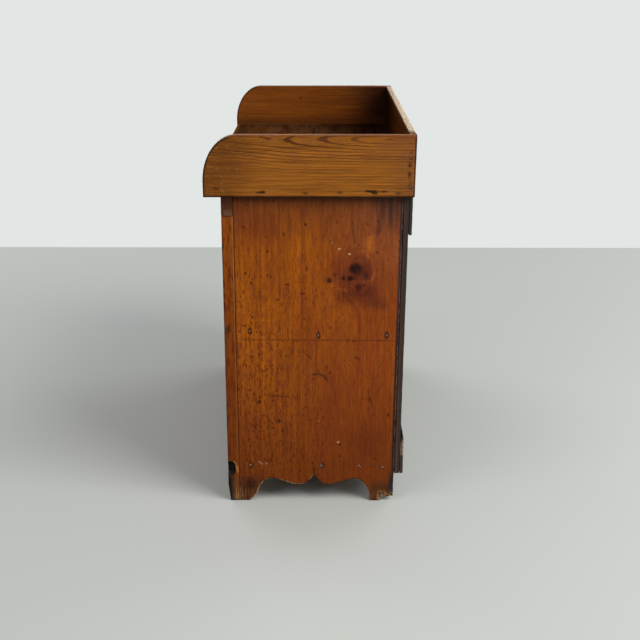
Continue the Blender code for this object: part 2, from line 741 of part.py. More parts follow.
# Turn button on the centre stile
def build_turn_button(wood, iron, centre_stile):
    pivot = add_pivot("turn_button_axis", (0.0, Y_FRAME, BUTTON_Z))
    rear = Y_FRAME - FIT
    front = rear - BUTTON_T
    bar = prism_mesh(1, button_outline(), front, rear)
    button = add_piece("turn_button", bar, wood["knob"], pivot)
    bore = circle(BUTTON_SCREW_R + RUN, (0.0, BUTTON_Z), ROUND_SIDES)
    cut(button, [prism_mesh(1, bore, front - BUTTON_T, rear + BUTTON_T)])

    reach = BUTTON_T + FIT
    profile = [
        (0.0, -BUTTON_SCREW_BITE),
        (BUTTON_SCREW_R, -BUTTON_SCREW_BITE),
        (BUTTON_SCREW_R, reach + FIT),
        (BUTTON_SCREW_HEAD_R, reach + FIT),
    ]
    steps = ARC_STEPS // 3
    for k in range(1, steps + 1):
        turn = math.pi / 2 * k / steps
        radius = BUTTON_SCREW_HEAD_R * math.cos(turn) if k < steps else 0.0
        profile.append((radius, reach + FIT + BUTTON_SCREW_HEAD_H * math.sin(turn)))
    place = (0.0, Y_FRAME, BUTTON_Z)
    add_piece("turn_button_screw", turned_mesh(profile, ROUND_SIDES, place), iron, None, smooth=True)
    pilot = circle(BUTTON_SCREW_R + FIT, (0.0, BUTTON_Z), ROUND_SIDES)
    cut(centre_stile, [prism_mesh(1, pilot, Y_FRAME - FRAME_T, Y_FRAME + BUTTON_SCREW_BITE + FIT)])


def main():
    clear_scene()
    wood = {
        "case": make_material("case_pine", (0.25, 0.085, 0.022), 0.45),
        "gallery": make_material("gallery_pine", (0.28, 0.115, 0.028), 0.45),
        "inner": make_material("inner_pine", (0.20, 0.095, 0.040), 0.70),
        "back": make_material("back_pine", (0.060, 0.038, 0.028), 0.80),
        "door": make_material("door_pine", (0.25, 0.088, 0.024), 0.45),
        "knob": make_material("knob_wood", (0.14, 0.050, 0.018), 0.40),
    }
    iron = make_material("iron", (0.035, 0.030, 0.028), 0.60, 0.8)
    build_case(wood)
    build_gallery(wood)
    build_back(wood)
    centre_stile = build_face_frame(wood)
    for name, s in SIDES:
        build_door(name, s, wood, iron)
    build_turn_button(wood, iron, centre_stile)


main()
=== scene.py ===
"""Looks of an old pine bucket bench cabinet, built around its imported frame.

Each board of the frame is remade with eased, slightly uneven edges and its own cut of pine. Metres, +Z up,
front towards -Y. Marks on the boards are in millimetres. The camera looks at the right side (+X), as in the
photograph.
"""

import json
import math
import random
from functools import reduce

import bmesh
import bpy
from mathutils import Matrix, Vector, noise


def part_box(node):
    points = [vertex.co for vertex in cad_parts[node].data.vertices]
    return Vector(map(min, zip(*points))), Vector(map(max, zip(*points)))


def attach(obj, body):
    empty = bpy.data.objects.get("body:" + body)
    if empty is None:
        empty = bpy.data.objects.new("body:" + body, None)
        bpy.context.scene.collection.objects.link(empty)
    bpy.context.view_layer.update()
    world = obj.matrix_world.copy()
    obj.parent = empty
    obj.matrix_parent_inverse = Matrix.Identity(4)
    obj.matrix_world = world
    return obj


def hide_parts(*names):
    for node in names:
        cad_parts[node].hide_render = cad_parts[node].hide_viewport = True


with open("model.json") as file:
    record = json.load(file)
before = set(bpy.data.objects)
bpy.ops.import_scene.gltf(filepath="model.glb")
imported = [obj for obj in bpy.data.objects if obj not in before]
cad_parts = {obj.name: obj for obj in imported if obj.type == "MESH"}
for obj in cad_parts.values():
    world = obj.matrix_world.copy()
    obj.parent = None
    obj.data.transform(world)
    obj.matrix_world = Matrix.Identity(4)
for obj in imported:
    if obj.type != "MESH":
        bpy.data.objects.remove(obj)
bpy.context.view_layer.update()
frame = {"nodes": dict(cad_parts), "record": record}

X, Y, Z = 0, 1, 2
MM = 0.001
SIDES = (("left", -1), ("right", 1))

# Camera, fitted to the board edges in the photograph, a 640 x 640 picture
CAMERA_PLACE = (2.7392, 0.0327, 1.1750)
CAMERA_PITCH = math.radians(17.984)
CAMERA_YAW = math.radians(-0.235)
CAMERA_ROLL = math.radians(0.024)
FOCAL_PIXELS = 1100.0
PICTURE_PIXELS = 640.0
SENSOR_MM = 36.0

# Edges
OUTLINE_STEP = 0.012
EASE_STEPS = 3
SHARP_DEGREES = 40
FLAT_DEGREES = 1  # faces that meet at less become one
BEVEL_DEGREES = 50
SAME_PLACE = 1e-5
BAND = 0.005  # width of the worn band inside an eased edge
GALLERY_FOOT = 0.710
LEAN = 0.016  # of the gallery's rear, for each metre up
LEAN_START = 0.190
LEAN_RUN = 0.010
REAR_FOOT = 0.1905  # Y of the sides' rear edge at the floor
REAR_SLOPE = 0.01197  # of that edge, for each metre up


def others(axis):
    return [k for k in (X, Y, Z) if k != axis]


def middle_of(node):
    low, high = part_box(node)
    return (low + high) / 2


Y_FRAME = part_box("centre_stile")[0].y
BUTTON_Z = middle_of("turn_button").z
BODIES = frame["record"]["behaviour"]["bodies"]
BODY_OF = {node: body for body, members in BODIES.items() for node in members}
SLOT_OF = {part["node"]: part["material_slot"] for part in frame["record"]["subparts"]}


def srgb(colour):
    """Screen values from 0 to 255, as the linear colour that a shader takes."""
    values = []
    for value in colour:
        share = value / 255.0
        values.append(share / 12.92 if share <= 0.04045 else ((share + 0.055) / 1.055) ** 2.4)
    return (*values, 1.0)


# Colours, as screen values
PALETTES = {  # early wood, late wood, slow change of tone, mottle
    "case": ((153, 80, 9), (114, 52, 9), (120, 56, 13), (106, 45, 27)),
    "gallery": ((144, 88, 28), (82, 41, 13), (126, 72, 20), (116, 66, 38)),
    "well": ((92, 50, 16), (52, 25, 8), (58, 31, 12), (46, 24, 10)),
    "inner": ((150, 112, 70), (112, 74, 40), (120, 84, 50), (110, 76, 44)),
    "back": ((92, 70, 55), (60, 43, 34), (62, 47, 39), (54, 42, 36)),
    "knob": ((104, 54, 22), (74, 36, 14), (62, 30, 12), (56, 26, 10)),
}
SPECK = (58, 22, 8)
SOOT_AND_SHADE = (16, 11, 9)
# Near black, for soot and also for painted shade and painted shadow
GRIME = (46, 30, 22)
PUTTY = (190, 168, 140)
RAW_PINE = (142, 100, 58)
NAIL_GREY = (120, 112, 108)
KNOT = (34, 14, 11)
RED_HEART = (96, 38, 22)


# Node trees
class Graph:
    """The node tree of one material, with a short method for each kind of node."""

    def __init__(self, name):
        self.material = bpy.data.materials.new(name)
        self.material.use_nodes = True
        self.tree = self.material.node_tree
        self.shader = self.tree.nodes["Principled BSDF"]
        coordinates = self.tree.nodes.new("ShaderNodeTexCoord")
        self.place = coordinates.outputs["Object"]
        self.facing = coordinates.outputs["Normal"]
        self.xyz = self.split(self.place)

    def node(self, kind, inputs, output=0, **settings):
        node = self.tree.nodes.new(kind)
        for key, value in settings.items():
            setattr(node, key, value)
        for key, value in inputs.items():
            self.feed(value, node.inputs[key])
        return node.outputs[output]

    def feed(self, value, socket):
        if isinstance(value, bpy.types.NodeSocket):
            self.tree.links.new(value, socket)
        else:
            socket.default_value = value

    def math(self, operation, *values, clamp=False):
        return self.node("ShaderNodeMath", dict(enumerate(values)), operation=operation, use_clamp=clamp)

    def vector(self, operation, *values):
        scalar = operation in ("LENGTH", "DOT_PRODUCT", "DISTANCE")
        output = "Value" if scalar else "Vector"
        return self.node("ShaderNodeVectorMath", dict(enumerate(values)), output, operation=operation)

    def split(self, value, kind="XYZ"):
        return list(self.node(f"ShaderNodeSeparate{kind}", {0: value}).node.outputs)

    def noise(self, scale, detail=2.0, offset=(0.0, 0.0, 0.0), roughness=0.5):
        inputs = {"Vector": self.vector("MULTIPLY_ADD", self.place, scale, offset), "Scale": 1.0}
        inputs.update({"Detail": detail, "Roughness": roughness})
        return self.node("ShaderNodeTexNoise", inputs, "Fac")

    def remap(self, value, low, high, start=0.0, end=1.0, smooth=True):
        inputs = {"Value": value, "From Min": low, "From Max": high, "To Min": start, "To Max": end}
        kind = "SMOOTHSTEP" if smooth else "LINEAR"
        return self.node("ShaderNodeMapRange", inputs, "Result", interpolation_type=kind, clamp=True)

    def mix(self, factor, first, second, blend="MIX"):
        inputs = {0: factor, 6: first, 7: second}
        return self.node("ShaderNodeMix", inputs, 2, data_type="RGBA", blend_type=blend, clamp_factor=True)

    def product(self, *values):
        return reduce(lambda one, other: self.math("MULTIPLY", one, other), values)

    def largest(self, values):
        return reduce(lambda one, other: self.math("MAXIMUM", one, other), values)

    def finish(self, colour, roughness, height, depth, specular=0.4, metallic=0.0):
        self.feed(colour, self.shader.inputs["Base Color"])
        self.feed(roughness, self.shader.inputs["Roughness"])
        self.shader.inputs["Metallic"].default_value = metallic
        self.shader.inputs["Specular IOR Level"].default_value = specular
        bump = self.node("ShaderNodeBump", {"Height": height, "Distance": depth, "Strength": 0.8})
        self.feed(bump, self.shader.inputs["Normal"])
        return self.material


class Pine(Graph):
    """One board's cut of pine: rings about a pith line along the grain, fibres, and slow changes of tone.

    pith is (across, deep) from the board's middle, in metres like the other settings. Marks are in
    millimetres, and so are knots, each (place, reach, push of the rings).
    """

    def __init__(self, node, grain, palette, spacing=0.0045, pith=None, tilt=0.02, warp=0.010, contrast=0.8,
                 tone=0.7, crisp=0.25, faint=0.4, ripple=0.003, jag=0.0, bow=None, knots=()):
        name = f"{node}_pine"
        super().__init__(name)
        draw = random.Random(name)
        self.centre = middle_of(node)
        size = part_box(node)[1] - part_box(node)[0]
        self.grain = grain
        self.thick = min(others(grain), key=lambda axis: size[axis])
        self.wide = max(others(grain), key=lambda axis: size[axis])
        self.shift = [draw.uniform(-40, 40) for _ in range(3)]
        if pith is None:
            across = draw.uniform(-0.35, 0.35) * size[self.wide]
            pith = (across, draw.choice((-1, 1)) * draw.uniform(0.05, 0.10))
            tilt *= draw.uniform(-1, 1)
        early, late, deep_tone, mottle = [srgb(colour) for colour in PALETTES[palette]]
        self.limit = None

        self.ragged = self.noise([300.0] * 3, 2.0, self.shift)
        self.torn = self.shaken([330.0] * 3, 0.006)
        self.loose = self.shaken(self.along(14.0, 30.0), 0.050)
        self.fibre = self.field(20.0, 330.0, 3.0, 0.7)
        self.streak = self.field(2.2, 95.0, 2.0, 0.6)
        self.cloud = self.field(1.7, 8.0, 3.0, 0.55)
        radius = self.ring_radius(pith, tilt, warp, ripple, jag, bow)
        for place, reach, push in knots:
            radius = self.math("ADD", radius, self.swell(place, reach, push))
        self.late = self.late_wood(radius, spacing, contrast, crisp, faint)
        colour = self.mix(self.late, early, late)
        colour = self.mix(self.remap(self.cloud, 0.36, 0.68, 0.0, tone), colour, deep_tone)
        blotch = self.field(26.0, 70.0, 3.0, 0.6)
        colour = self.mix(self.remap(blotch, 0.46, 0.66, 0.0, 0.42), colour, mottle)
        fine = self.remap(self.fibre, 0.25, 0.75, -0.26, 0.26, smooth=False)
        broad = self.remap(self.streak, 0.25, 0.75, 0.80, 1.17, smooth=False)
        figure = self.math("ADD", fine, broad)
        self.figure = self.node("ShaderNodeCombineColor", {0: figure, 1: figure, 2: figure})
        self.colour = self.mix(1.0, colour, self.figure, "MULTIPLY")
        self.rim = self.node("ShaderNodeAttribute", {}, "Fac", attribute_name="rim")
        undulation = self.field(5.0, 26.0, 1.0)
        self.height = self.math("MULTIPLY_ADD", self.late, 0.3, self.fibre)
        self.height = self.math("MULTIPLY_ADD", undulation, 1.6, self.height)
        self.roughness = self.remap(self.cloud, 0.3, 0.7, 0.38, 0.52)
        end_grain = self.remap(self.math("ABSOLUTE", self.split(self.facing)[grain]), 0.55, 0.8)
        self.tint(self.product(end_grain, 0.45), SOOT_AND_SHADE)

    def shaken(self, scale, amount):
        """The place with a noisy offset, for marks with torn outlines."""
        field = self.split(self.noise(scale, 2.0, self.shift).node.outputs["Color"], "Color")
        field = self.node("ShaderNodeCombineXYZ", dict(enumerate(field)))
        offset = self.vector("MULTIPLY_ADD", field, (amount,) * 3, (-amount / 2,) * 3)
        return self.vector("ADD", self.place, offset)

    def along(self, grain_scale, cross_scale):
        scale = [cross_scale] * 3
        scale[self.grain] = grain_scale
        return scale

    def field(self, grain_scale, cross_scale, detail, roughness=0.5):
        """Noise with one scale along the grain and another across it."""
        return self.noise(self.along(grain_scale, cross_scale), detail, self.shift, roughness)

    def offset(self, axis, place):
        return self.math("SUBTRACT", self.xyz[axis], place)

    def ring_radius(self, pith, tilt, warp, ripple, jag, bow):
        """The distance from the pith, which bends a little and drifts across before a bow (start, slope)."""
        bend = self.field(1.6, 5.0, 1.5)
        bend = self.math("MULTIPLY_ADD", bend, 2 * warp, -warp)
        broad = self.math("ADD", self.offset(self.wide, self.centre[self.wide] + pith[0]), bend)
        run = self.offset(self.grain, self.centre[self.grain])
        if bow:
            before = self.math("MINIMUM", self.math("SUBTRACT", run, bow[0]), 0.0)
            broad = self.math("MULTIPLY_ADD", before, bow[1], broad)
            run = self.math("MAXIMUM", run, bow[0])
        deep = self.offset(self.thick, self.centre[self.thick] + pith[1])
        deep = self.math("MULTIPLY_ADD", run, tilt, deep)
        radius = self.math("SQRT", self.math("ADD", self.product(broad, broad), self.product(deep, deep)))
        ripples = self.field(9.0, 30.0, 2.0)
        radius = self.math("MULTIPLY_ADD", ripples, ripple, radius)
        jags = self.field(45.0, 110.0, 2.0)
        return self.math("MULTIPLY_ADD", jags, jag, radius)

    def late_wood(self, radius, spacing, contrast, crisp, faint):
        """The dark late wood, from the share crisp of a year's ring on. Weak years keep the share faint."""
        phase = self.math("DIVIDE", radius, spacing)
        ring = self.math("FRACT", phase)
        late = self.product(self.remap(ring, crisp, 0.82), self.remap(ring, 1.0, 0.88))
        year = self.math("FLOOR", phase)
        strength = self.node("ShaderNodeTexWhiteNoise", {"W": year}, "Value", noise_dimensions="1D")
        return self.product(late, self.remap(strength, 0.0, 1.0, faint * contrast, contrast, smooth=False))

    def swell(self, place, reach, push):
        """The bulge of the rings round a knot, longer along the grain."""
        radii = [reach] * 3
        radii[self.grain] = reach * 1.8
        distance = self.distance(self.place, place, radii)
        fall = self.math("POWER", math.e, self.math("MULTIPLY", self.product(distance, distance), -1.0))
        return self.product(fall, push * MM)

    def distance(self, field, place, radii):
        """1 on an ellipse about a place, as seen square to the board's face."""
        scale = [1.0 / (radius * MM) for radius in radii]
        scale[self.thick] = 0.0
        offset = [-value * MM * factor for value, factor in zip(place, scale)]
        return self.vector("LENGTH", self.vector("MULTIPLY_ADD", field, scale, offset))

    def on_face(self, pair, depth=0.0):
        """Two values for the axes of the board's face, in X, Y, Z order, and one through its thickness."""
        values = list(pair)
        values.insert(self.thick, depth)
        return values

    def spot(self, place, radii, edge, loose=False):
        """A spot with a torn outline, or a loose one if it is large: 1 up to the share edge of its radii."""
        field = self.loose if loose else self.torn
        distance = self.distance(field, self.on_face(place), self.on_face(radii, 1.0))
        return self.remap(distance, 1.0, edge)

    def spots(self, places, radii, edge):
        return self.largest([self.spot(place, radii, edge) for place in places])

    def line(self, start, end, width):
        start, end = [Vector(self.on_face(place)) * MM for place in (start, end)]
        span = end - start
        place = self.vector("MULTIPLY_ADD", self.torn, self.on_face((1.0, 1.0)), -start)
        share = self.math("DIVIDE", self.vector("DOT_PRODUCT", place, span), span.length_squared, clamp=True)
        scaled = self.node("ShaderNodeVectorMath", {0: span, "Scale": share}, "Vector", operation="SCALE")
        return self.remap(self.vector("DISTANCE", place, scaled), width, width * 0.2)

    def lines(self, width, *paths):
        """Soft lines from place to place along each path."""
        ends = [pair for path in paths for pair in zip(path, path[1:])]
        return self.largest([self.line(start, end, width * MM) for start, end in ends])

    def zone(self, axis, start, end, ragged=0.0):
        """0 at start, 1 at end along an axis, with an uneven edge."""
        place = self.math("MULTIPLY_ADD", self.math("SUBTRACT", self.cloud, 0.5), ragged * MM, self.xyz[axis])
        return self.remap(place, start * MM, end * MM)

    def torn_edge(self, place, width, start, end):
        """0 at start, 1 at end of a place in metres, with a finely torn edge."""
        return self.remap(self.math("MULTIPLY_ADD", self.ragged, width, place), start, end)

    def slant(self):
        """Y less the lean of the sides' rear edge."""
        return self.math("MULTIPLY_ADD", self.xyz[Z], -REAR_SLOPE, self.xyz[Y])

    def specks(self, cell, size, share, density=1.0, stretch=1.6):
        """Pock marks: one in some of the cells, more where density is high."""
        scale = self.along(1.0 / (cell * MM * stretch), 1.0 / (cell * MM))
        inputs = {"Vector": self.vector("MULTIPLY_ADD", self.torn, scale, self.shift), "Scale": 1.0}
        distance = self.node("ShaderNodeTexVoronoi", inputs, "Distance")
        chance = self.split(distance.node.outputs["Color"], "Color")
        present = self.math("LESS_THAN", chance[0], self.math("MULTIPLY", share, density))
        reach = self.remap(chance[1], 0.0, 1.0, 0.35 * size / cell, size / cell, smooth=False)
        near = self.remap(self.math("DIVIDE", distance, reach), 1.0, 0.5)
        return self.product(near, present)

    def dashes(self, grain_scale, cross_scale, threshold):
        """Short dark flecks along the grain."""
        return self.remap(self.field(grain_scale, cross_scale, 1.0), threshold, threshold + 0.12)

    def tint(self, mask, colour):
        """Mixes in a colour that keeps the figure of the fibres."""
        self.colour = self.mix(mask, self.colour, self.mix(1.0, srgb(colour), self.figure, "MULTIPLY"))

    def mark(self, colour, amount, *masks, sunk=0.0):
        """Colours where the masks, some of them zones, and the limit meet, and presses it in if asked."""
        masks = [self.zone(*mask) if isinstance(mask, tuple) else mask for mask in masks]
        if self.limit is not None:
            masks.append(self.limit)
        mask = self.product(*masks)
        self.tint(self.product(mask, amount), colour)
        if sunk:
            self.height = self.math("MULTIPLY_ADD", mask, -sunk, self.height)

    def dab(self, colour, amount, radii, edge, *places, sunk=0.0):
        self.mark(colour, amount, self.spots(places, radii, edge), sunk=sunk)

    def stain(self, colour, amount, radii, place):
        """A large spot with a soft, loose outline."""
        self.mark(colour, amount, self.spot(place, radii, 0.1, loose=True))

    def scratch(self, colour, amount, width, *paths, sunk=0.0):
        self.mark(colour, amount, self.lines(width, *paths), sunk=sunk)

    def done(self, depth=0.0005, specular=0.08):
        return self.finish(self.colour, self.roughness, self.height, depth, specular)


# Boards
def face_outline(node, axis, side):
    """The outer edge, anticlockwise, of a node's flat face at one end of an axis, in the two other axes."""
    mesh = frame["nodes"][node].data
    extreme = max(side * vertex.co[axis] for vertex in mesh.vertices)
    edges = set()
    for polygon in mesh.polygons:
        corners = [mesh.vertices[k].co for k in polygon.vertices]
        if all(side * corner[axis] > extreme - SAME_PLACE for corner in corners):
            keys = [tuple(round(corner[k], 6) for k in others(axis)) for corner in corners]
            for start, end in zip(keys, keys[1:] + keys[:1]):
                if (end, start) in edges:
                    edges.remove((end, start))
                else:
                    edges.add((start, end))
    following = dict(sorted(edges))
    loops = []
    while following:
        loop = [next(iter(following))]
        while loop[-1] in following:
            loop.append(following.pop(loop[-1]))
        loops.append(loop[:-1])
    loop = max(loops, key=lambda points: sum(math.dist(a, b) for a, b in zip(points, points[1:])))
    area = sum(a[0] * b[1] - b[0] * a[1] for a, b in zip(loop, loop[1:] + loop[:1]))
    return loop if area > 0 else loop[::-1]


def resampled(outline):
    points = []
    for start, end in zip(outline, outline[1:] + outline[:1]):
        count = max(1, round(math.dist(start, end) / OUTLINE_STEP))
        points += [tuple(a + (b - a) * k / count for a, b in zip(start, end)) for k in range(count)]
    return points


def inward(points):
    """The inward direction at each point of an anticlockwise outline, longer at a corner."""
    normals = []
    for before, point, after in zip(points[-1:] + points[:-1], points, points[1:] + points[:1]):
        first = (Vector(point) - Vector(before)).normalized()
        second = (Vector(after) - Vector(point)).normalized()
        normal = Vector((-first.y - second.y, first.x + second.x)).normalized()
        normals.append(normal / max(0.5, normal.dot(Vector((-first.y, first.x)))))
    return normals


def bite(chips, point):
    """How deep the chips ((place), reach, depth) cut into an edge at a point of the outline."""
    total = 0.0
    for place, reach, depth in chips:
        share = math.dist(place, point) / reach
        if share < 1.0:
            total += depth * (1.0 - share * share) ** 2
    return total


def worn_prism(name, axis, outline, low, high, ease, band=BAND, wobble=0.0004, chips=()):
    """A board with eased, uneven edges. The attribute rim is 1 on its edges and fades inwards."""
    points = resampled(outline)
    normals = inward(points)
    first, second = others(axis)
    bm = bmesh.new()
    rim = bm.verts.layers.float.new("rim")

    def ring(inset_share, depth_share, extra, wear, at_low):
        verts = []
        for point, normal in zip(points, normals):
            seed = Vector((*point, low if at_low else high))
            radius = ease * (1.0 + 0.6 * noise.noise(seed * 45.0))
            chip = bite(chips, point)
            inset = inset_share * radius + wobble * (1.0 + noise.noise(seed * 80.0)) + chip + extra
            depth = depth_share * (radius + chip)
            place = [0.0, 0.0, 0.0]
            place[axis] = low + depth if at_low else high - depth
            place[first] = point[0] + normal.x * inset
            place[second] = point[1] + normal.y * inset
            vert = bm.verts.new(place)
            vert[rim] = wear
            verts.append(vert)
        return verts

    turns = [math.pi / 2 * k / EASE_STEPS for k in range(EASE_STEPS + 1)]
    rounding = [(1 - math.cos(turn), 1 - math.sin(turn)) for turn in turns]
    rings = [ring(1.0, 0.0, band, 0.0, True)]
    rings += [ring(*shares, 0.0, 1.0, True) for shares in reversed(rounding)]
    rings += [ring(*shares, 0.0, 1.0, False) for shares in rounding]
    rings.append(ring(1.0, 0.0, band, 0.0, False))
    skin(bm, rings)
    return add_mesh(name, bm)


def skin(bm, rings):
    """Joins rings with equal numbers of vertices, and closes both ends."""
    count = len(rings[0])
    for one, other in zip(rings, rings[1:]):
        for k in range(count):
            after = (k + 1) % count
            bm.faces.new((one[k], one[after], other[after], other[k]))
    bm.faces.new(rings[0][::-1])
    bm.faces.new(rings[-1])
    bmesh.ops.recalc_face_normals(bm, faces=bm.faces)


def add_mesh(name, bm):
    mesh = bpy.data.meshes.new(name)
    bm.to_mesh(mesh)
    bm.free()
    mesh.shade_smooth()
    mesh.set_sharp_from_angle(angle=math.radians(SHARP_DEGREES))
    obj = bpy.data.objects.new(name, mesh)
    bpy.context.scene.collection.objects.link(obj)
    return obj


def stand_for(piece, node, material):
    """The piece takes the place of a node, on its body, with the given material."""
    piece.data.materials.append(material)
    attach(piece, BODY_OF[node])
    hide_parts(node)
    return piece


def remake(node, axis, material, side=1, ease=0.0018, outline=None, **settings):
    low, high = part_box(node)
    outline = outline or face_outline(node, axis, side)
    piece = worn_prism(f"{node}_board", axis, outline, low[axis], high[axis], ease, **settings)
    return stand_for(piece, node, material)


def refine(node, material, width=0.0004):
    """A copy of a small node with rounded edges."""
    bm = bmesh.new()
    bm.from_mesh(frame["nodes"][node].data)
    bmesh.ops.remove_doubles(bm, verts=bm.verts, dist=SAME_PLACE)
    bmesh.ops.dissolve_limit(bm, angle_limit=math.radians(FLAT_DEGREES), verts=bm.verts, edges=bm.edges)
    sharp = [edge for edge in bm.edges if edge.calc_face_angle(0.0) > math.radians(BEVEL_DEGREES)]
    bmesh.ops.bevel(bm, geom=sharp, offset=width, segments=2, affect="EDGES", clamp_overlap=True)
    return stand_for(add_mesh(f"{node}_fine", bm), node, material)


# Marks, in millimetres. Those of the right side and the gallery are measured in the photograph, as (y, z)
SIDE_KNOTS = (((0, 100, 550), 34, 34), ((0, 45, 525), 11, 8), ((0, 88, 530), 12, 10),
              ((0, 107, 507), 12, 8))
SHELF_NAILS = ((-130.3, 410.2), (19.7, 400.7), (169.4, 400.9))
BOTTOM_NAILS = ((-133.2, 88), (28, 88.4), (114.8, 85.5), (140.9, 90.1), (163, 84.1))
LEFT_NAILS = ((-128, 402.5), (14, 401), (163, 402.2), (-131, 88), (30, 87.2), (158, 86.8))
GALLERY_NAILS = ((211.1, 796.3), (208.6, 758.3), (209.8, 733.3), (-101.5, 720.5), (-7.1, 719.4), (64.8, 721),
                 (133.7, 722.6), (186.2, 719.6))
BACK_BOARDS = [f"back_board_{number}" for number in range(1, 7)]
BACK_KNOTS = {"back_board_1": (((-400, 0, 330), 9),),
              "back_board_3": (((-70, 0, 520), 11), ((-110, 0, 235), 6)),
              "back_board_5": (((245, 0, 430), 10),)}
PANEL_KNOTS = {"left": (((-262, 0, 245), 10), ((-160, 0, 530), 6)),
               "right": (((150, 0, 470), 9), ((290, 0, 205), 7))}
SCUFF_REACH = 41

# Wear of the edges, and nails of the back, in metres
SIDE_CHIPS = (((-0.124, 0.010), 0.010, 0.0025), ((-0.022, 0.041), 0.008, 0.0012),
              ((0.036, 0.041), 0.007, 0.0016), ((0.060, 0.046), 0.006, 0.0014),
              ((0.166, 0.012), 0.008, 0.0025))
CASE_EDGES = {"ease": 0.0012, "band": 0.003, "wobble": 0.0002}
GOUGE_PLACE = (0.4625, -0.1785, 0.0800)
GOUGE_RADII = (0.0100, 0.0112, 0.0190)
BACK_NAIL_Z = 0.402
BACK_NAIL_INSET = 0.028


def right_side_pine():
    pine = Pine("right_side", Z, "case", spacing=0.0085, pith=(0.03, -0.14), tilt=0.012, contrast=0.5,
                knots=SIDE_KNOTS)
    bare_inside(pine, X, 446, 442)
    pine.mark((124, 52, 17), 0.65, (Y, -40, 130, 100))
    pine.stain((108, 42, 15), 0.6, (75, 60), (-105, 640))
    pine.mark((98, 51, 25), 0.7, (Z, 580, 710, 100))
    right = pine.zone(Y, 0, 120, 60)
    pine.mark((86, 38, 17), 0.45, right, pine.remap(pine.streak, 0.5, 0.64))
    pine.mark((164, 90, 30), 0.35, right, pine.remap(pine.streak, 0.46, 0.34))
    pine.mark((106, 47, 8), 0.75, (Z, 340, 60, 120))
    pine.stain((94, 38, 11), 0.55, (62, 58), (124, 152))
    # Painted sheen: a greyish-pink glow on the upper rear of the side
    pine.mark((126, 74, 48), 0.4, (Y, 0, 160, 100), (Z, 440, 600, 100))
    # Painted shadow under the overhang of the gallery's end
    pine.mark((50, 25, 13), 0.7, (Z, 690, 709))
    blacken_rear(pine)
    pine.limit = pine.zone(X, 450, 456)
    add_side_knots(pine)
    add_side_scratches(pine)
    add_side_edges(pine)
    add_side_nails(pine)
    add_side_specks(pine)
    return pine.done()


def add_side_specks(pine):
    """Pock marks and dark flecks along the grain, most of them low and towards the front."""
    low_front = pine.product(pine.zone(Y, 100, -120, 80), pine.zone(Z, 620, 340, 120))
    crowd = pine.math("MULTIPLY_ADD", low_front, 0.65, 0.35)
    pine.mark((90, 30, 6), 0.65, pine.dashes(60.0, 230.0, 0.54), crowd)
    pine.mark((66, 21, 7), 0.6, pine.dashes(140.0, 340.0, 0.58), crowd)
    small = ((-7.2, 648.5), (-88.8, 590.2), (-136.4, 540.5), (-125.1, 518.9), (-68.1, 482.2),
             (-123.9, 442.2), (-60.7, 175), (175.7, 212.4))
    large = ((-111.4, 243.9), (-68.6, 197.7))
    dents = pine.largest([pine.spots(small, (3.7, 4.8), 0.3), pine.spots(large, (5.4, 6.6), 0.3)])
    pine.mark((38, 15, 9), 0.85, dents)
    pine.dab((52, 22, 10), 0.7, (8.5, 3), 0.3, (-48.1, 516.3), (-14.3, 495.9), (-142.8, 422.7))
    pine.mark((56, 18, 6), 0.7, pine.specks(10, 3, 0.42, crowd, 1.3), sunk=0.6)
    pine.mark((66, 22, 7), 0.58, pine.specks(17, 4, 0.22), sunk=0.6)


def add_side_knots(pine):
    """A cluster of knots in a reddish swirl of grain, with dark streaks above it."""
    heart = pine.spot((104, 528), (74, 96), 0.1, loose=True)
    pine.mark(RED_HEART, 0.7, heart)
    pine.stain((80, 29, 17), 0.65, (68, 36), (110, 494))
    pine.stain((74, 34, 20), 0.5, (32, 22), (152, 480))
    pine.stain((112, 44, 20), 0.45, (40, 62), (66, 552))
    pine.mark((58, 22, 14), 0.95, heart, pine.late)
    corner = pine.spot((172, 692), (56, 72), 0.1, loose=True)
    pine.mark((70, 46, 37), 0.6, corner)
    pine.mark((40, 32, 30), 0.7, corner, pine.remap(pine.streak, 0.42, 0.6))
    pine.stain((176, 98, 28), 0.55, (16, 40), (127, 608))
    pine.stain((58, 38, 30), 0.65, (10, 44), (140, 646))
    pine.scratch(GRIME, 0.5, 4.2, ((91.5, 654), (96.2, 608)))
    arcs = (((114.5, 591.9), (133.6, 570.1), (140.7, 540.9), (134.3, 525.1), (115.4, 522.2)),
            ((46.8, 517.1), (58.7, 507.3), (77.7, 503.4)))
    pine.mark((176, 90, 36), 0.36, pine.lines(4.8, *arcs), pine.remap(pine.fibre, 0.34, 0.6))
    pine.dab((80, 35, 24), 0.85, (34, 32), 0.1, (112, 545))
    pine.dab((50, 22, 16), 0.9, (20, 17.5), 0.3, (101, 550))
    pine.dab(KNOT, 0.92, (16.6, 15.2), 0.45, (98.5, 551.8))
    pine.dab((62, 30, 24), 0.6, (8, 6), 0.1, (105, 547))
    small = (((43.5, 525.5), 6.8, 6.4), ((73.5, 530.2), 4.4, 5.8), ((88.6, 529.8), 9.4, 8.2))
    for place, reach, rise in small:
        pine.dab((84, 34, 18), 0.75, (reach * 1.9, rise * 1.8), 0.1, place)
        pine.dab(KNOT, 0.95, (reach, rise), 0.4, place)
    pine.dab((128, 74, 42), 0.7, (3, 2.6), 0.1, (43.8, 526.2))
    pine.dab((46, 17, 13), 0.9, (10, 13.5), 0.15, (106.5, 510.5))
    pine.dab(GRIME, 0.55, (10, 8), 0.1, (54.9, 538.1))
    pine.dab((52, 27, 22), 0.7, (9.5, 12.5), 0.1, (123, 536.2))


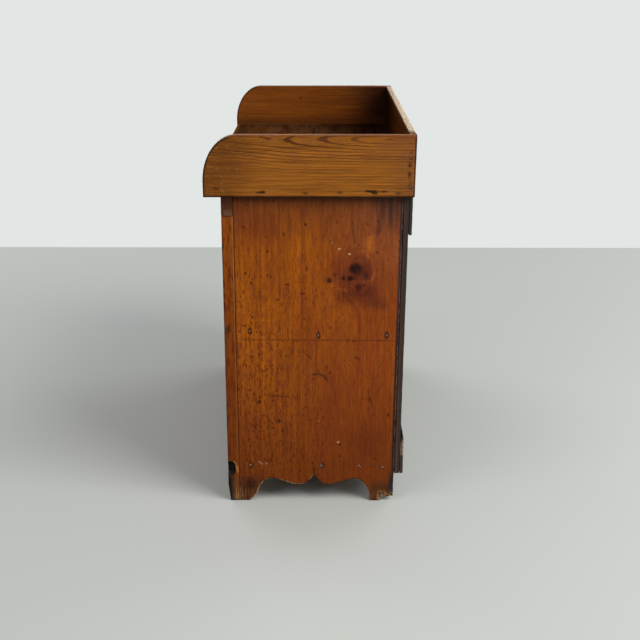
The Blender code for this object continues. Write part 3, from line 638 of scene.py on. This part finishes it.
def add_side_scratches(pine):
    """Scratches, a scribed line along the shelf, and small pale chips."""
    arc = ((7.7, 309.1), (21.1, 310.6), (31, 305.5), (38.5, 296.3))
    pine.scratch((58, 36, 26), 0.75, 4.4, arc, sunk=1.0)
    pine.scratch((60, 30, 16), 0.65, 3.4, ((-80, 258.8), (-47.7, 255.7)), ((101, 350.6), (109.1, 344.9)),
                 ((-5.6, 356.1), (2.4, 347.6)))
    pine.scratch((66, 32, 14), 0.4, 3, ((-94, 260), (-80, 258.8)))
    pine.scratch((60, 28, 14), 0.6, 2.6, ((130.1, 270.5), (140.1, 232.8)))
    scribe = pine.lines(2.2, ((-148, 390.5), (186, 388.4)))
    pine.mark((74, 32, 10), 0.65, scribe, pine.remap(pine.ragged, 0.35, 0.55, 0.4, 1.0))
    pine.scratch((50, 24, 12), 0.8, 2.4, ((10.3, 64), (9.2, 84)))
    pine.dab((206, 172, 112), 0.75, (4.6, 2.4), 0.3, (64.9, 595.2), (85.7, 584.3))
    pine.dab((56, 28, 15), 0.8, (5, 6), 0.3, (67.5, 140))
    pine.dab((190, 140, 84), 0.75, (4.4, 3.2), 0.3, (64, 146))
    pine.dab((164, 112, 58), 0.5, (3.6, 5), 0.3, (48.1, 609), (-126, 355.8), (19.7, 197.3))


def add_side_edges(pine):
    """The worn foot and scallop with a painted shadow along its bottom, and the blackened rear strip with a
    painted highlight on its arris.
    """
    pine.mark((68, 42, 24), 0.85, (Z, 80, 35, 30), (Y, -90, -125, 30))
    pine.mark((68, 40, 20), 0.8, (Z, 62, 30, 30), (Y, 125, 150, 20))
    pine.dab((42, 17, 13), 0.9, (19, 26), 0.1, (-135.5, 43))
    pine.mark((124, 92, 62), 0.6, (Z, 34, 16), pine.remap(pine.fibre, 0.48, 0.62))
    # Painted shadow: a dark line along the underside of the foot
    pine.mark(SOOT_AND_SHADE, 0.8, (Z, 5, 1))
    low = pine.zone(Z, 78, 60)
    pine.mark(GRIME, 0.45, pine.rim, pine.math("SUBTRACT", 1.0, low))
    pine.mark((66, 36, 18), 0.7, pine.rim, low)
    arch = pine.product(pine.zone(Y, -85, -100), pine.zone(Y, -155, -145))
    lobe = pine.product(pine.zone(Y, -75, -60), pine.zone(Y, 14, 2))
    spare = pine.math("MULTIPLY", pine.zone(Z, 50, 40), 0.45)
    edge = pine.remap(pine.rim, 0.45, 0.95)
    patches = pine.remap(pine.noise((70.0,) * 3, 2.0, pine.shift), 0.36, 0.56)
    pine.mark((180, 144, 102), 0.85, edge, low, pine.largest([arch, lobe, spare]), patches)
    slant = pine.slant()
    rear = pine.torn_edge(slant, 0.004, 0.185, 0.188)
    pine.mark((46, 39, 40), 0.92, rear)
    pine.mark((40, 23, 19), 0.8, rear, (Z, 520, 300, 150))
    # Painted highlight on the rear arris of the side
    pine.scratch((132, 88, 58), 0.5, 3, ((188.2, 611), (187.3, 563)))
    pine.mark((37, 35, 36), 0.9, (Z, 85, 50, 30), pine.remap(slant, 0.176, 0.183))
    pine.mark((124, 112, 102), 0.7, pine.rim, pine.remap(slant, 0.1885, 0.19), patches)
    splinters = pine.remap(pine.ragged, 0.5, 0.6)
    pine.mark((176, 140, 92), 0.7, (Z, 30, 18, 20), (Y, 150, 158), splinters)


def add_side_nails(pine):
    """Dark dents of the nails into the shelf and the bottom board, some with old filler."""
    pine.dab((32, 19, 14), 0.9, (6.6, 12.5), 0.4, *SHELF_NAILS, sunk=1.5)
    pine.dab(NAIL_GREY, 0.45, (2.4, 5), 0.1, *SHELF_NAILS)
    pine.dab((38, 21, 15), 0.9, (9.5, 13), 0.1, *BOTTOM_NAILS[:2], sunk=1.5)
    pine.dab((56, 28, 15), 0.75, (5, 6), 0.2, *BOTTOM_NAILS[2:])
    pine.dab((206, 190, 170), 0.8, (2.4, 3.4), 0.1, (-134, 89.5))
    pine.dab((120, 106, 98), 0.6, (4.2, 7.5), 0.1, (26.2, 89))
    pine.dab(PUTTY, 0.5, (3.6, 3.4), 0.1, (-114, 96.5), (-109.5, 92.5), (-97.5, 93))
    pine.dab(PUTTY, 0.32, (3.4, 3.8), 0.1, (165.5, 85), (112, 88))


# Other boards
def plain_pine(node, grain, palette, **settings):
    """Pine with pock marks and grimy edges."""
    pine = Pine(node, grain, palette, **settings)
    pine.mark(SPECK, 0.25, pine.dashes(60.0, 300.0, 0.58))
    pine.mark(SPECK, 0.75, pine.specks(22, 3, 0.35))
    pine.mark(GRIME, 0.55, pine.rim, pine.remap(pine.streak, 0.3, 0.6))
    return pine


def knotted_pine(node, grain, palette, knots, halo=RED_HEART, **settings):
    """Plain pine with knots, each (place, radius), in a swirl of grain."""
    swirls = [(place, 1.9 * radius, 1.6 * radius) for place, radius in knots]
    pine = plain_pine(node, grain, palette, knots=swirls, **settings)
    for place, radius in knots:
        first, second = [place[axis] for axis in others(pine.thick)]
        pine.dab(halo, 0.6, (radius * 2.6, radius * 2.8), 0.1, (first, second))
        pine.dab(KNOT, 0.9, (radius * 1.1, radius), 0.4, (first, second))
        heart = (first + 0.3 * radius, second - 0.2 * radius)
        pine.dab((84, 44, 28), 0.5, (radius * 0.45, radius * 0.35), 0.1, heart)
    return pine


def bare_inside(pine, axis, start, end):
    """Unfinished wood from start to end along an axis, on the face that is shut in."""
    pine.mark(RAW_PINE, 0.75, (axis, start, end))


def right_stile_pine():
    pine = Pine("right_stile", Z, "case", spacing=0.009, pith=(0.12, 0.09), contrast=0.3)
    pine.mark(SPECK, 0.75, pine.specks(12, 3.4, 0.35))
    pine.mark(GRIME, 0.5, pine.rim, pine.remap(pine.streak, 0.3, 0.6))
    pine.thick, pine.wide = X, Y
    pine.limit = pine.zone(X, 457.5, 461.5)
    pine.mark((106, 49, 9), 0.95, (Z, 1100, 150, 150))
    pine.mark((82, 26, 6), 0.65, pine.dashes(45.0, 230.0, 0.53))
    pine.mark((40, 20, 9), 0.85, pine.torn_edge(pine.xyz[Y], 0.004, -0.1825, -0.1845))
    pine.limit = pine.zone(X, 450, 458)
    pine.dab((44, 30, 14), 0.85, (9, 15), 0.1, (-177.3, 414.3))
    pine.dab(SOOT_AND_SHADE, 0.95, (4, 11), 0.3, *[(-185, z) for z in (513.4, 490, 469.6, 600)])
    # Painted highlight along the stile's rear edge, beside the joint with the side
    pine.mark((150, 88, 34), 0.35, (Y, -165, -162.5))
    pine.mark((178, 128, 84), 0.35, (Y, -163.2, -162), (Z, 400, 520))
    add_toe_wear(pine)
    return pine.done()


def add_toe_wear(pine):
    """The bare, splintered toe below the gouge in the front edge, with painted shade in the gouge and a
    painted shadow along the bottom.
    """
    pine.mark((94, 58, 30), 0.6, (Z, 75, 40, 20))
    pine.mark((132, 96, 60), 0.6, (Z, 26, 10, 10))
    pine.mark((140, 100, 62), 0.5, (Z, 60, 30), pine.remap(pine.fibre, 0.5, 0.62))
    pine.mark((46, 35, 27), 0.85, (Z, 72, 50, 10), (Y, -168.5, -175))
    pine.mark(SOOT_AND_SHADE, 0.85, (Z, 66, 56), (Y, -176, -181))
    # Painted shadow: a dark line along the underside of the foot
    pine.mark(SOOT_AND_SHADE, 0.8, (Z, 5, 1))
    # Painted shade in the hollow of the gouge
    pine.limit = pine.zone(X, 436, 444)
    pine.dab(SOOT_AND_SHADE, 0.98, (12.2, 20.8), 0.85, (-179.5, 80.3))
    pine.limit = pine.zone(X, 450, 458)
    pine.scratch((170, 116, 58), 0.75, 2.6, ((-171.5, 97.5), (-167.5, 88), (-165.5, 80)),
                 ((-164, 85), (-163.5, 72)))


def near_end_pine():
    """A flamed figure along the upper edge, where the board is cut close to the pith."""
    pine = Pine("gallery_right_end", Y, "gallery", spacing=0.0062, pith=(0.057, -0.0077), tilt=-0.0902,
                warp=0.003, contrast=1.15, tone=0.4, crisp=0.62, faint=0.75, ripple=0.0018, jag=0.0026,
                bow=(-0.05, 0.10))
    pine.mark((145, 87, 26), 0.75, (Z, 795, 760, 30))
    pine.mark((94, 51, 12), 0.7, (Y, -80, -200, 80))
    pine.mark((114, 68, 38), 0.55, (Y, 130, 220, 60))
    pine.stain((112, 54, 20), 0.3, (45, 32), (-150, 780))
    pine.mark(GRIME, 0.7, (Y, 219.2, 221.5))
    pine.mark((84, 42, 10), 0.5, pine.dashes(6.0, 430.0, 0.53))
    pine.mark((92, 50, 14), 0.3, pine.dashes(2.5, 260.0, 0.54))
    pine.mark(SPECK, 0.7, pine.specks(16, 3, 0.25))
    pine.limit = pine.zone(X, 472, 478)
    stains = (((-103, 720.5), 12, 3.2), ((-96, 721.5), 8, 4.6), ((127, 723.5), 17, 4.6),
              ((137, 721.5), 11, 7.2), ((155, 723), 14, 3))
    for place, length, height in stains:
        pine.dab(SOOT_AND_SHADE, 0.88, (length, height), 0.3, place)
    pine.dab((62, 32, 12), 0.65, (10, 5.5), 0.1, (-192.7, 728.2), (-7.1, 719.4), (64.8, 721), (186.2, 719.6))
    pine.dab((46, 29, 18), 0.8, (6.5, 8), 0.1, (211.1, 796.3), (208, 778.4), (208.6, 758.3), (209.8, 733.3))
    cracks = pine.lines(4.4, ((212.5, 806), (210, 775)), ((207.5, 765), (211, 728)))
    pine.mark((54, 34, 20), 0.6, cracks, pine.remap(pine.ragged, 0.4, 0.6))
    pine.dab(PUTTY, 0.65, (2.4, 3.4), 0.1, (211.1, 796.3), (209.8, 733.3))
    pine.mark((166, 126, 80), 0.15, (Y, -80, -190), pine.dashes(95.0, 210.0, 0.58))
    add_end_edges(pine)
    return pine.done()


def far_end_pine():
    """The end seen from inside, with painted shade towards the rear corner, which the splash-back shades, and
    along the floor.
    """
    pine = Pine("gallery_left_end", Y, "gallery", spacing=0.0055, pith=(0.02, 0.10), tilt=0.01, warp=0.006,
                contrast=0.6, tone=0.6)
    pine.mark((80, 38, 9), 0.5, pine.dashes(6.0, 300.0, 0.52))
    pine.mark(SPECK, 0.7, pine.specks(18, 3.4, 0.3))
    pine.limit = pine.zone(X, -472, -466)
    pine.mark((104, 50, 6), 0.75, (X, -472.5, -466))
    # Painted shade: darker in streaks towards the rear corner, darkest there, and darker along the floor
    pine.mark((76, 32, 5), 0.7, (Y, -100, 100, 100), pine.remap(pine.streak, 0.35, 0.6))
    pine.mark((30, 9, 2), 0.92, (Y, 50, 190, 100))
    pine.mark((58, 28, 8), 0.65, (Z, 758, 738, 30))
    pine.dab((60, 26, 10), 0.75, (8.5, 5.5), 0.1, (-36, 806))
    pine.limit = None
    add_end_edges(pine)
    return pine.done()


def add_end_edges(pine):
    edge = pine.remap(pine.rim, 0.4, 0.9)
    pine.mark((36, 18, 8), 0.85, edge, (Z, 838, 834))
    pine.mark((98, 52, 18), 0.75, edge, (Z, 834, 839))


def top_board_pine():
    pine = plain_pine("top_board", X, "well", spacing=0.006, contrast=0.6)
    pine.mark((34, 16, 7), 0.85, (Y, -100, 170, 150))
    pine.mark((98, 62, 34), 0.22, pine.dashes(4.0, 60.0, 0.5), (Y, 150, -100))
    blotches = pine.remap(pine.noise((3.5, 11.0, 5.0), 3.0, pine.shift), 0.46, 0.62)
    pine.mark((96, 60, 34), 0.4, blotches, (Y, 160, -80))
    pine.mark((24, 12, 6), 0.7, pine.dashes(3.0, 90.0, 0.54), (Y, -200, 50))
    pine.mark((122, 98, 72), 0.6, (X, -440, -456), (Y, 100, -60, 200),
              pine.remap(pine.ragged, 0.42, 0.58))
    pine.mark((120, 68, 24), 0.7, (Y, -205, -217))
    return pine.done(specular=0.0)


def gallery_back_pine():
    """The splash-back: painted shade inside, deepest towards the far end and the floor, and a pale, broken
    upper edge, worn and partly a painted highlight.
    """
    pine = plain_pine("gallery_back", X, "gallery", spacing=0.006, contrast=0.7)
    # Painted shade on the inner face, deeper towards the far end and towards the floor
    inside = pine.zone(Y, 210.5, 208.5)
    pine.mark((58, 26, 9), 0.9, inside)
    pine.mark((24, 9, 3), 0.9, inside, (X, 200, -360, 100))
    pine.mark((40, 20, 8), 0.7, inside, (Z, 770, 735, 40))
    outside = pine.zone(Y, 217, 221.5)
    pine.mark((78, 57, 44), 0.85, outside)
    pine.mark((46, 36, 31), 0.7, outside, (Z, 745, 712, 20))
    # Pale top edge: worn wood, and partly a painted highlight where the light falls on it
    top = pine.zone(Z, 834.5, 837.5)
    pine.mark((206, 186, 162), 0.92, top)
    pine.mark((140, 110, 88), 0.7, top, pine.remap(pine.streak, 0.5, 0.66))
    pine.mark((78, 56, 42), 0.8, top, pine.remap(pine.ragged, 0.54, 0.64))
    pine.mark((92, 78, 52), 0.85, top, (X, 385, 435, 50))
    pine.mark((46, 32, 20), 0.8, top, (X, 435, 460), (Y, 212, 216))
    pine.mark((54, 32, 20), 0.8, (Z, 833, 836), (Y, 211, 209))
    return pine.done(0.001, 0.0)


def back_nail_columns(node):
    low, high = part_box(node)
    return (low.x + BACK_NAIL_INSET, high.x - BACK_NAIL_INSET)


def back_pine(node):
    """Grimy boards, whose edge beside a case side shows a gap in painted shade, a brown edge and a grey rear.
    """
    pine = knotted_pine(node, Z, "back", BACK_KNOTS.get(node, ()), halo=(62, 40, 30))
    nails = [(x / MM, BACK_NAIL_Z / MM) for x in back_nail_columns(node)]
    pine.dab((26, 17, 13), 0.8, (6, 11), 0.1, *nails)
    pine.mark((50, 38, 32), 0.6, (Z, 340, 160, 150))
    edge = pine.remap(pine.math("ABSOLUTE", pine.xyz[X]), 0.455, 0.461)
    depth = pine.math("MULTIPLY_ADD", pine.ragged, 0.002, pine.slant())
    pine.mark((84, 58, 46), 0.85, edge)
    pine.mark((48, 35, 31), 0.75, edge, pine.remap(pine.streak, 0.45, 0.62))
    pine.mark((47, 43, 42), 0.85, edge, pine.remap(depth, 0.1985, 0.201))
    # Painted shade in the gap between the board and the case side
    pine.mark(SOOT_AND_SHADE, 0.9, edge, pine.remap(depth, 0.1942, 0.1925))
    return pine.done()


def batten_pine(node):
    pine = plain_pine(node, X, "back")
    pine.mark((44, 34, 28), 0.6, pine.dashes(7.0, 240.0, 0.53))
    pine.limit = pine.remap(pine.math("ABSOLUTE", pine.xyz[X]), 0.448, 0.458)
    pine.mark((50, 46, 42), 0.85, (Y, 185, 200))
    if node == "back_batten_bottom":
        pine.limit = pine.zone(X, 450, 458)
        pine.mark((66, 56, 54), 0.8, (X, 440, 458))
        pale = pine.product(pine.zone(Z, 108, 118, 20), pine.zone(Z, 158, 146, 20))
        pine.mark((170, 146, 128), 0.75, pale, pine.remap(pine.ragged, 0.36, 0.52))
    return pine.done()


def blacken_rear(pine):
    """Grime on the rear edge of a side, below the back boards."""
    pine.mark((56, 43, 37), 0.85, pine.remap(pine.slant(), 0.1888, 0.1902))


def left_side_pine():
    knots = (((0, -62, 585), 13), ((0, 108, 238), 10), ((0, 128, 255), 5))
    pine = knotted_pine("left_side", Z, "case", knots, spacing=0.0085, pith=(-0.03, 0.14), tilt=0.012,
                        contrast=0.5)
    bare_inside(pine, X, -446, -442)
    # Painted shadow under the overhang of the gallery's end
    pine.mark((50, 25, 13), 0.7, (Z, 690, 709))
    pine.mark((106, 47, 8), 0.6, (Z, 300, 60, 120))
    blacken_rear(pine)
    pine.limit = pine.zone(X, -450, -456)
    pine.mark((76, 45, 24), 0.7, (Z, 75, 30, 30))
    pine.mark((52, 42, 40), 0.85, pine.torn_edge(pine.xyz[Y], 0.004, 0.189, 0.192))
    pine.dab((36, 20, 14), 0.85, (7.5, 11), 0.1, *LEFT_NAILS, sunk=1.5)
    return pine.done()


def top_rail_pine():
    """The rail above the stiles, with a paler patch on the end that shows."""
    pine = plain_pine("top_rail", X, "case", contrast=0.5)
    end = pine.remap(pine.xyz[X], 0.4615, 0.4622)
    pine.mark((80, 46, 28), 0.8, end)
    pine.mark((138, 104, 82), 0.35, end, (Z, 683, 673), (Y, -184, -176))
    return pine.done()


def centre_stile_pine():
    pine = plain_pine("centre_stile", Z, "case", contrast=0.5)
    scuff_ring(pine)
    return pine.done()


def scuff_ring(pine):
    """The ring that the turn button has scuffed."""
    share = pine.distance(pine.torn, (0.0, 0.0, BUTTON_Z / MM), (SCUFF_REACH,) * 3)
    off = pine.math("ABSOLUTE", pine.math("SUBTRACT", share, 1.0))
    ring = pine.remap(off, 7 / SCUFF_REACH, 1 / SCUFF_REACH)
    pine.mark((70, 34, 14), 0.55, ring, pine.remap(pine.ragged, 0.35, 0.6))


def door_pine(node, grain, knots=(), **settings):
    """Worn door wood: bare inside, darkened by hands about the knob and scuffed by the turn button."""
    pine = knotted_pine(node, grain, "case", knots, **settings)
    front = Y_FRAME / MM
    bare_inside(pine, Y, front + 16, front + 19)
    knob = middle_of(node.split("_")[0] + "_knob") / MM
    pine.limit = pine.zone(Y, front + 8, front + 4)
    pine.stain(GRIME, 0.55, (55, 95), (knob.x, knob.z))
    scuff_ring(pine)
    return pine.done()


def old_iron(name, clean, rusty):
    graph = Graph(name)
    rust = graph.noise((160.0,) * 3, 4.0)
    colour = graph.mix(graph.remap(rust, 0.45, 0.65), srgb(clean), srgb(rusty))
    roughness = graph.remap(rust, 0.3, 0.7, 0.45, 0.75)
    return graph.finish(colour, roughness, rust, 0.0004, metallic=0.7)


# Case and doors
def build_case():
    side = {"left": left_side_pine(), "right": right_side_pine()}
    stile = {"left": plain_pine("left_stile", Z, "case", contrast=0.4).done(), "right": right_stile_pine()}
    whole_stile = face_outline("left_stile", X, -1)
    for name, s in SIDES:
        remake(f"{name}_side", X, side[name], s, chips=SIDE_CHIPS, **CASE_EDGES)
        board = remake(f"{name}_stile", X, stile[name], s, outline=whole_stile, **CASE_EDGES)
        if s > 0:
            gouge(board)
    lean(remake("gallery_left_end", X, far_end_pine(), -1))
    lean(remake("gallery_right_end", X, near_end_pine()))
    lean(remake("gallery_back", Y, gallery_back_pine(), -1, 0.0022, wobble=0.0008))
    remake("top_board", X, top_board_pine())
    remake("top_rail", Y, top_rail_pine(), -1)
    remake("bottom_rail", Y, plain_pine("bottom_rail", X, "case", contrast=0.5).done(), -1)
    remake("centre_stile", Y, centre_stile_pine(), -1)
    for node in ("middle_shelf", "bottom_board"):
        remake(node, Z, plain_pine(node, X, "inner").done())
    for node in BACK_BOARDS:
        remake(node, X, back_pine(node), ease=0.0012, band=0.0015)
    for node in ("back_batten_top", "back_batten_bottom"):
        remake(node, X, batten_pine(node), ease=0.0010, band=0.0010)


def lean(board):
    """Tips the rear of a gallery board back a little."""
    for vertex in board.data.vertices:
        rise = max(0.0, vertex.co.z - GALLERY_FOOT)
        at_rear = min(1.0, max(0.0, (vertex.co.y - LEAN_START) / LEAN_RUN))
        vertex.co.y += LEAN * rise * at_rear


def gouge(board):
    """Takes a rough bite out of the front edge of the right stile, where the frame has one."""
    bm = bmesh.new()
    shape = Matrix.Translation(GOUGE_PLACE) @ Matrix.Diagonal((*GOUGE_RADII, 1.0))
    bmesh.ops.create_icosphere(bm, subdivisions=4, radius=1.0, matrix=shape)
    for vert in bm.verts:
        bulge = 0.0022 * noise.noise(vert.co * 170.0) + 0.0012 * noise.noise(vert.co * 420.0)
        vert.co += vert.normal * bulge
    cut_away(board, bm)


def cut_away(piece, cutter_bm):
    """Subtracts a cutter from a piece for good."""
    cutter = add_mesh("cutter", cutter_bm)
    modifier = piece.modifiers.new("cut", "BOOLEAN")
    modifier.operation = "DIFFERENCE"
    modifier.object = cutter
    graph = bpy.context.evaluated_depsgraph_get()
    cut = bpy.data.meshes.new_from_object(piece.evaluated_get(graph))
    piece.modifiers.clear()
    cut.set_sharp_from_angle(angle=math.radians(SHARP_DEGREES))
    piece.data = cut
    bpy.data.objects.remove(cutter)


def build_doors():
    for name, _ in SIDES:
        for kind, grain in (("hinge_stile", Z), ("lock_stile", Z), ("top_rail", X), ("bottom_rail", X)):
            node = f"{name}_door_{kind}"
            remake(node, Y, door_pine(node, grain, contrast=0.5), -1)
        panel = f"{name}_door_panel"
        refine(panel, door_pine(panel, Z, PANEL_KNOTS[name], contrast=0.6, spacing=0.007), 0.0006)


# Fittings
KNOB_PROFILE = (  # radius, distance in front of the door, in millimetres
    (6, -4), (6, -0.6), (10.6, -0.6), (11.2, 0.4), (11.1, 1.6), (10.1, 2.7), (8, 3.8), (7.3, 6), (7.9, 9),
    (10.1, 11.7), (13.2, 14), (15.6, 16.6), (16.5, 19.6), (16, 22.9), (14.2, 25.8), (11.2, 27.9), (7.4, 29.3),
    (4, 29.9), (1.6, 30))
HEAD_RINGS = ((1.0, -0.0012), (1.0, 0.00008), (0.82, 0.00015))  # share of a head's size, rise from the face
FRAME_NAIL_X = 0.4515
FRAME_NAIL_Z = (0.155, 0.330, 0.505, 0.640, 0.690)
BACK_NAILS = ((0.088, 0.0205), (BACK_NAIL_Z, 0.013), (0.684, 0.0205))  # z, depth behind the sides' rear edge
SCREW_RISE = 0.021  # of the outer screws of a hinge leaf from the middle one
SCREW_INSET = 0.0085
SIDE_NAIL_SIZE = (0.0011, 0.0026)
GALLERY_NAIL_SIZE = (0.0012, 0.0016)
NAIL_SIZE = (0.0020, 0.0034)
SCREW_SIZE = (0.0029, 0.0029)
SLOT_SIZE = (0.0120, 0.0026, 0.0011)
SLOT_TURN = 0.6


def turned(name, profile, centre, sides=48):
    """A round piece about Y. profile is (radius, distance in front of the centre), in millimetres."""
    bm = bmesh.new()
    turns = [2 * math.pi * k / sides for k in range(sides)]
    rings = []
    for radius, reach in profile:
        places = [(radius * math.cos(turn), -reach, radius * math.sin(turn)) for turn in turns]
        rings.append([bm.verts.new(Vector(centre) + Vector(place) * MM) for place in places])
    skin(bm, rings)
    return add_mesh(name, bm)


def build_knob(node):
    middle = middle_of(node)
    knob = turned(f"{node}_turned", KNOB_PROFILE, (middle.x, Y_FRAME, middle.z))
    pine = plain_pine(node, Y, "knob")
    pine.mark(SOOT_AND_SHADE, 0.7, (Y, Y_FRAME / MM - 6, Y_FRAME / MM - 1))
    stand_for(knob, node, pine.done(0.0002, 0.25))


def build_button_screw(iron):
    node = "turn_button_screw"
    front = (Y_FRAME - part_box(node)[0].y) / MM
    radius, height = 4.8, 2.6
    profile = [(2.2, -16), (2.2, front - 2.8), (radius, front - height)]
    for turn in (0.4, 0.8, 1.15, 1.45):
        profile.append((radius * math.cos(turn), front - height * (1 - math.sin(turn))))
    screw = turned(f"{node}_slotted", profile, (0.0, Y_FRAME, BUTTON_Z), 32)
    bm = bmesh.new()
    shape = Matrix.Translation((0.0, Y_FRAME - front * MM, BUTTON_Z)) @ Matrix.Rotation(SLOT_TURN, 4, "Y")
    bmesh.ops.create_cube(bm, size=1.0, matrix=shape @ Matrix.Diagonal((*SLOT_SIZE, 1.0)))
    stand_for(screw, node, iron)
    cut_away(screw, bm)


def add_heads(name, body, axis, sign, places, iron, size=NAIL_SIZE, screws=False):
    """Rough heads of nails, or round ones of screws, on a face that looks along an axis."""
    draw = random.Random(name)
    first, second = others(axis)
    sides = 16 if screws else 8
    bm = bmesh.new()
    for place in places:
        tilt = draw.uniform(-0.25, 0.25)
        rings = []
        for share, rise in HEAD_RINGS:
            ring = []
            for k in range(sides):
                turn = 2 * math.pi * (k + 0.5) / sides
                reach = share * (1.0 if screws else draw.uniform(0.88, 1.08))
                wide = size[0] * reach * math.cos(turn)
                tall = size[1] * reach * math.sin(turn)
                point = list(place)
                point[axis] += sign * rise
                point[first] += wide * math.cos(tilt) - tall * math.sin(tilt)
                point[second] += wide * math.sin(tilt) + tall * math.cos(tilt)
                ring.append(bm.verts.new(point))
            rings.append(ring)
        skin(bm, rings)
    heads = add_mesh(name, bm)
    heads.data.materials.append(iron)
    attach(heads, body)


def build_nails(iron, worn_iron):
    for name, s, side_nails in (("right", 1, SHELF_NAILS + BOTTOM_NAILS), ("left", -1, LEFT_NAILS)):
        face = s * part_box("right_side")[1].x
        places = [(face, y * MM, z * MM) for y, z in side_nails]
        add_heads(f"{name}_side_nails", "case", X, s, places, worn_iron, SIDE_NAIL_SIZE)
        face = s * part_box("gallery_right_end")[1].x
        places = [(face, y * MM, z * MM) for y, z in GALLERY_NAILS]
        add_heads(f"{name}_gallery_nails", "case", X, s, places, iron, GALLERY_NAIL_SIZE)
    front = [(s * FRAME_NAIL_X, Y_FRAME, z) for s in (-1, 1) for z in FRAME_NAIL_Z]
    add_heads("frame_nails", "case", Y, -1, front, iron)
    rear = []
    for node in BACK_BOARDS:
        for x in back_nail_columns(node):
            rear += [(x, REAR_FOOT + REAR_SLOPE * z + depth, z) for z, depth in BACK_NAILS]
    add_heads("back_nails", "case", Y, 1, rear, iron)


def build_hinge_screws(iron):
    for name, s in SIDES:
        for place in ("lower", "upper"):
            for kind, body, out in (("frame", "case", -s), ("door", f"{name}_door", s)):
                leaf = f"{name}_{place}_hinge_{kind}"
                low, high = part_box(f"{leaf}_leaf")
                face = high.x if out > 0 else low.x
                middle = (low.z + high.z) / 2
                rises = (-SCREW_RISE, 0.0, SCREW_RISE)
                places = [(face, high.y - SCREW_INSET, middle + rise) for rise in rises]
                add_heads(f"{leaf}_screws", body, X, out, places, iron, SCREW_SIZE, True)


def build_fittings():
    iron = old_iron("old_iron", (44, 40, 38), (74, 50, 36))
    nail_iron = old_iron("nail_iron", (128, 114, 102), (84, 64, 50))
    for node, slot in SLOT_OF.items():
        if slot == "iron" and node != "turn_button_screw":
            refine(node, iron, 0.0003)
        elif node.endswith("_peg"):
            refine(node, plain_pine(node, Y, "knob").done())
        elif node.endswith("_knob"):
            build_knob(node)
    remake("turn_button", Y, plain_pine("turn_button", Z, "knob").done(), -1, 0.0022, band=0.003)
    build_button_screw(iron)
    build_nails(iron, nail_iron)
    build_hinge_screws(iron)


# Stage, light and camera
FLOOR_X = (-1.9, 3.6)
FLOOR_Y = 4.0


def build_stage():
    bm = bmesh.new()
    corners = ((FLOOR_X[0], -FLOOR_Y), (FLOOR_X[1], -FLOOR_Y), (FLOOR_X[1], FLOOR_Y), (FLOOR_X[0], FLOOR_Y))
    bm.faces.new([bm.verts.new((x, y, 0.0)) for x, y in corners])
    floor = add_mesh("floor", bm)
    graph = Graph("pale_floor")
    graph.feed(srgb((176, 179, 176)), graph.shader.inputs["Base Color"])
    graph.shader.inputs["Roughness"].default_value = 0.8
    floor.data.materials.append(graph.material)


def add_light(name, place, target, size, power, colour=(1.0, 1.0, 1.0)):
    data = bpy.data.lights.new(name, "AREA")
    data.shape = "RECTANGLE"
    data.size, data.size_y = size
    data.energy = power
    data.color = colour
    light = bpy.data.objects.new(name, data)
    light.location = place
    direction = Vector(target) - Vector(place)
    light.rotation_euler = direction.to_track_quat("-Z", "Y").to_euler()
    bpy.context.scene.collection.objects.link(light)


def build_light():
    """Four soft lamps, a dim world, and a pale wall that only camera, glossy and transmission rays see."""
    world = bpy.data.worlds.new("studio")
    world.use_nodes = True
    tree = world.node_tree
    light = tree.nodes["Background"]
    light.inputs["Color"].default_value = (0.95, 0.98, 1.0, 1.0)
    light.inputs["Strength"].default_value = 0.3
    wall = tree.nodes.new("ShaderNodeBackground")
    wall.inputs["Color"].default_value = srgb((226, 230, 228))
    path = tree.nodes.new("ShaderNodeLightPath")
    seen = path.outputs["Is Camera Ray"]
    for kind in ("Is Glossy Ray", "Is Transmission Ray"):
        either = tree.nodes.new("ShaderNodeMath")
        either.operation = "MAXIMUM"
        tree.links.new(seen, either.inputs[0])
        tree.links.new(path.outputs[kind], either.inputs[1])
        seen = either.outputs[0]
    choice = tree.nodes.new("ShaderNodeMixShader")
    for k, output in enumerate((seen, light.outputs[0], wall.outputs[0])):
        tree.links.new(output, choice.inputs[k])
    tree.links.new(choice.outputs[0], tree.nodes["World Output"].inputs["Surface"])
    bpy.context.scene.world = world
    add_light("key", (1.9, 2.4, 2.9), (0.2, 0.0, 0.4), (2.4, 2.2), 158.0, (1.0, 0.98, 0.95))
    add_light("fill", (2.5, -2.4, 2.4), (0.2, 0.0, 0.4), (2.5, 2.0), 44.0)
    add_light("left_front", (-2.6, -2.2, 2.2), (0.0, 0.0, 0.4), (2.4, 2.0), 45.0)
    add_light("left_rear", (-2.4, 2.6, 2.2), (0.0, 0.0, 0.4), (2.4, 2.0), 45.0)


def build_camera():
    data = bpy.data.cameras.new("camera")
    data.sensor_fit = "HORIZONTAL"
    data.sensor_width = SENSOR_MM
    data.lens = SENSOR_MM * FOCAL_PIXELS / PICTURE_PIXELS
    camera = bpy.data.objects.new("camera", data)
    turns = ((math.pi / 2 - CAMERA_YAW, "Z"), (math.pi / 2 - CAMERA_PITCH, "X"), (CAMERA_ROLL, "Z"))
    camera.matrix_world = Matrix.Translation(CAMERA_PLACE)
    for angle, axis in turns:
        camera.matrix_world = camera.matrix_world @ Matrix.Rotation(angle, 4, axis)
    bpy.context.scene.collection.objects.link(camera)
    bpy.context.scene.camera = camera


build_case()
build_doors()
build_fittings()
build_stage()
build_light()
build_camera()
bpy.context.scene.view_settings.view_transform = "Standard"
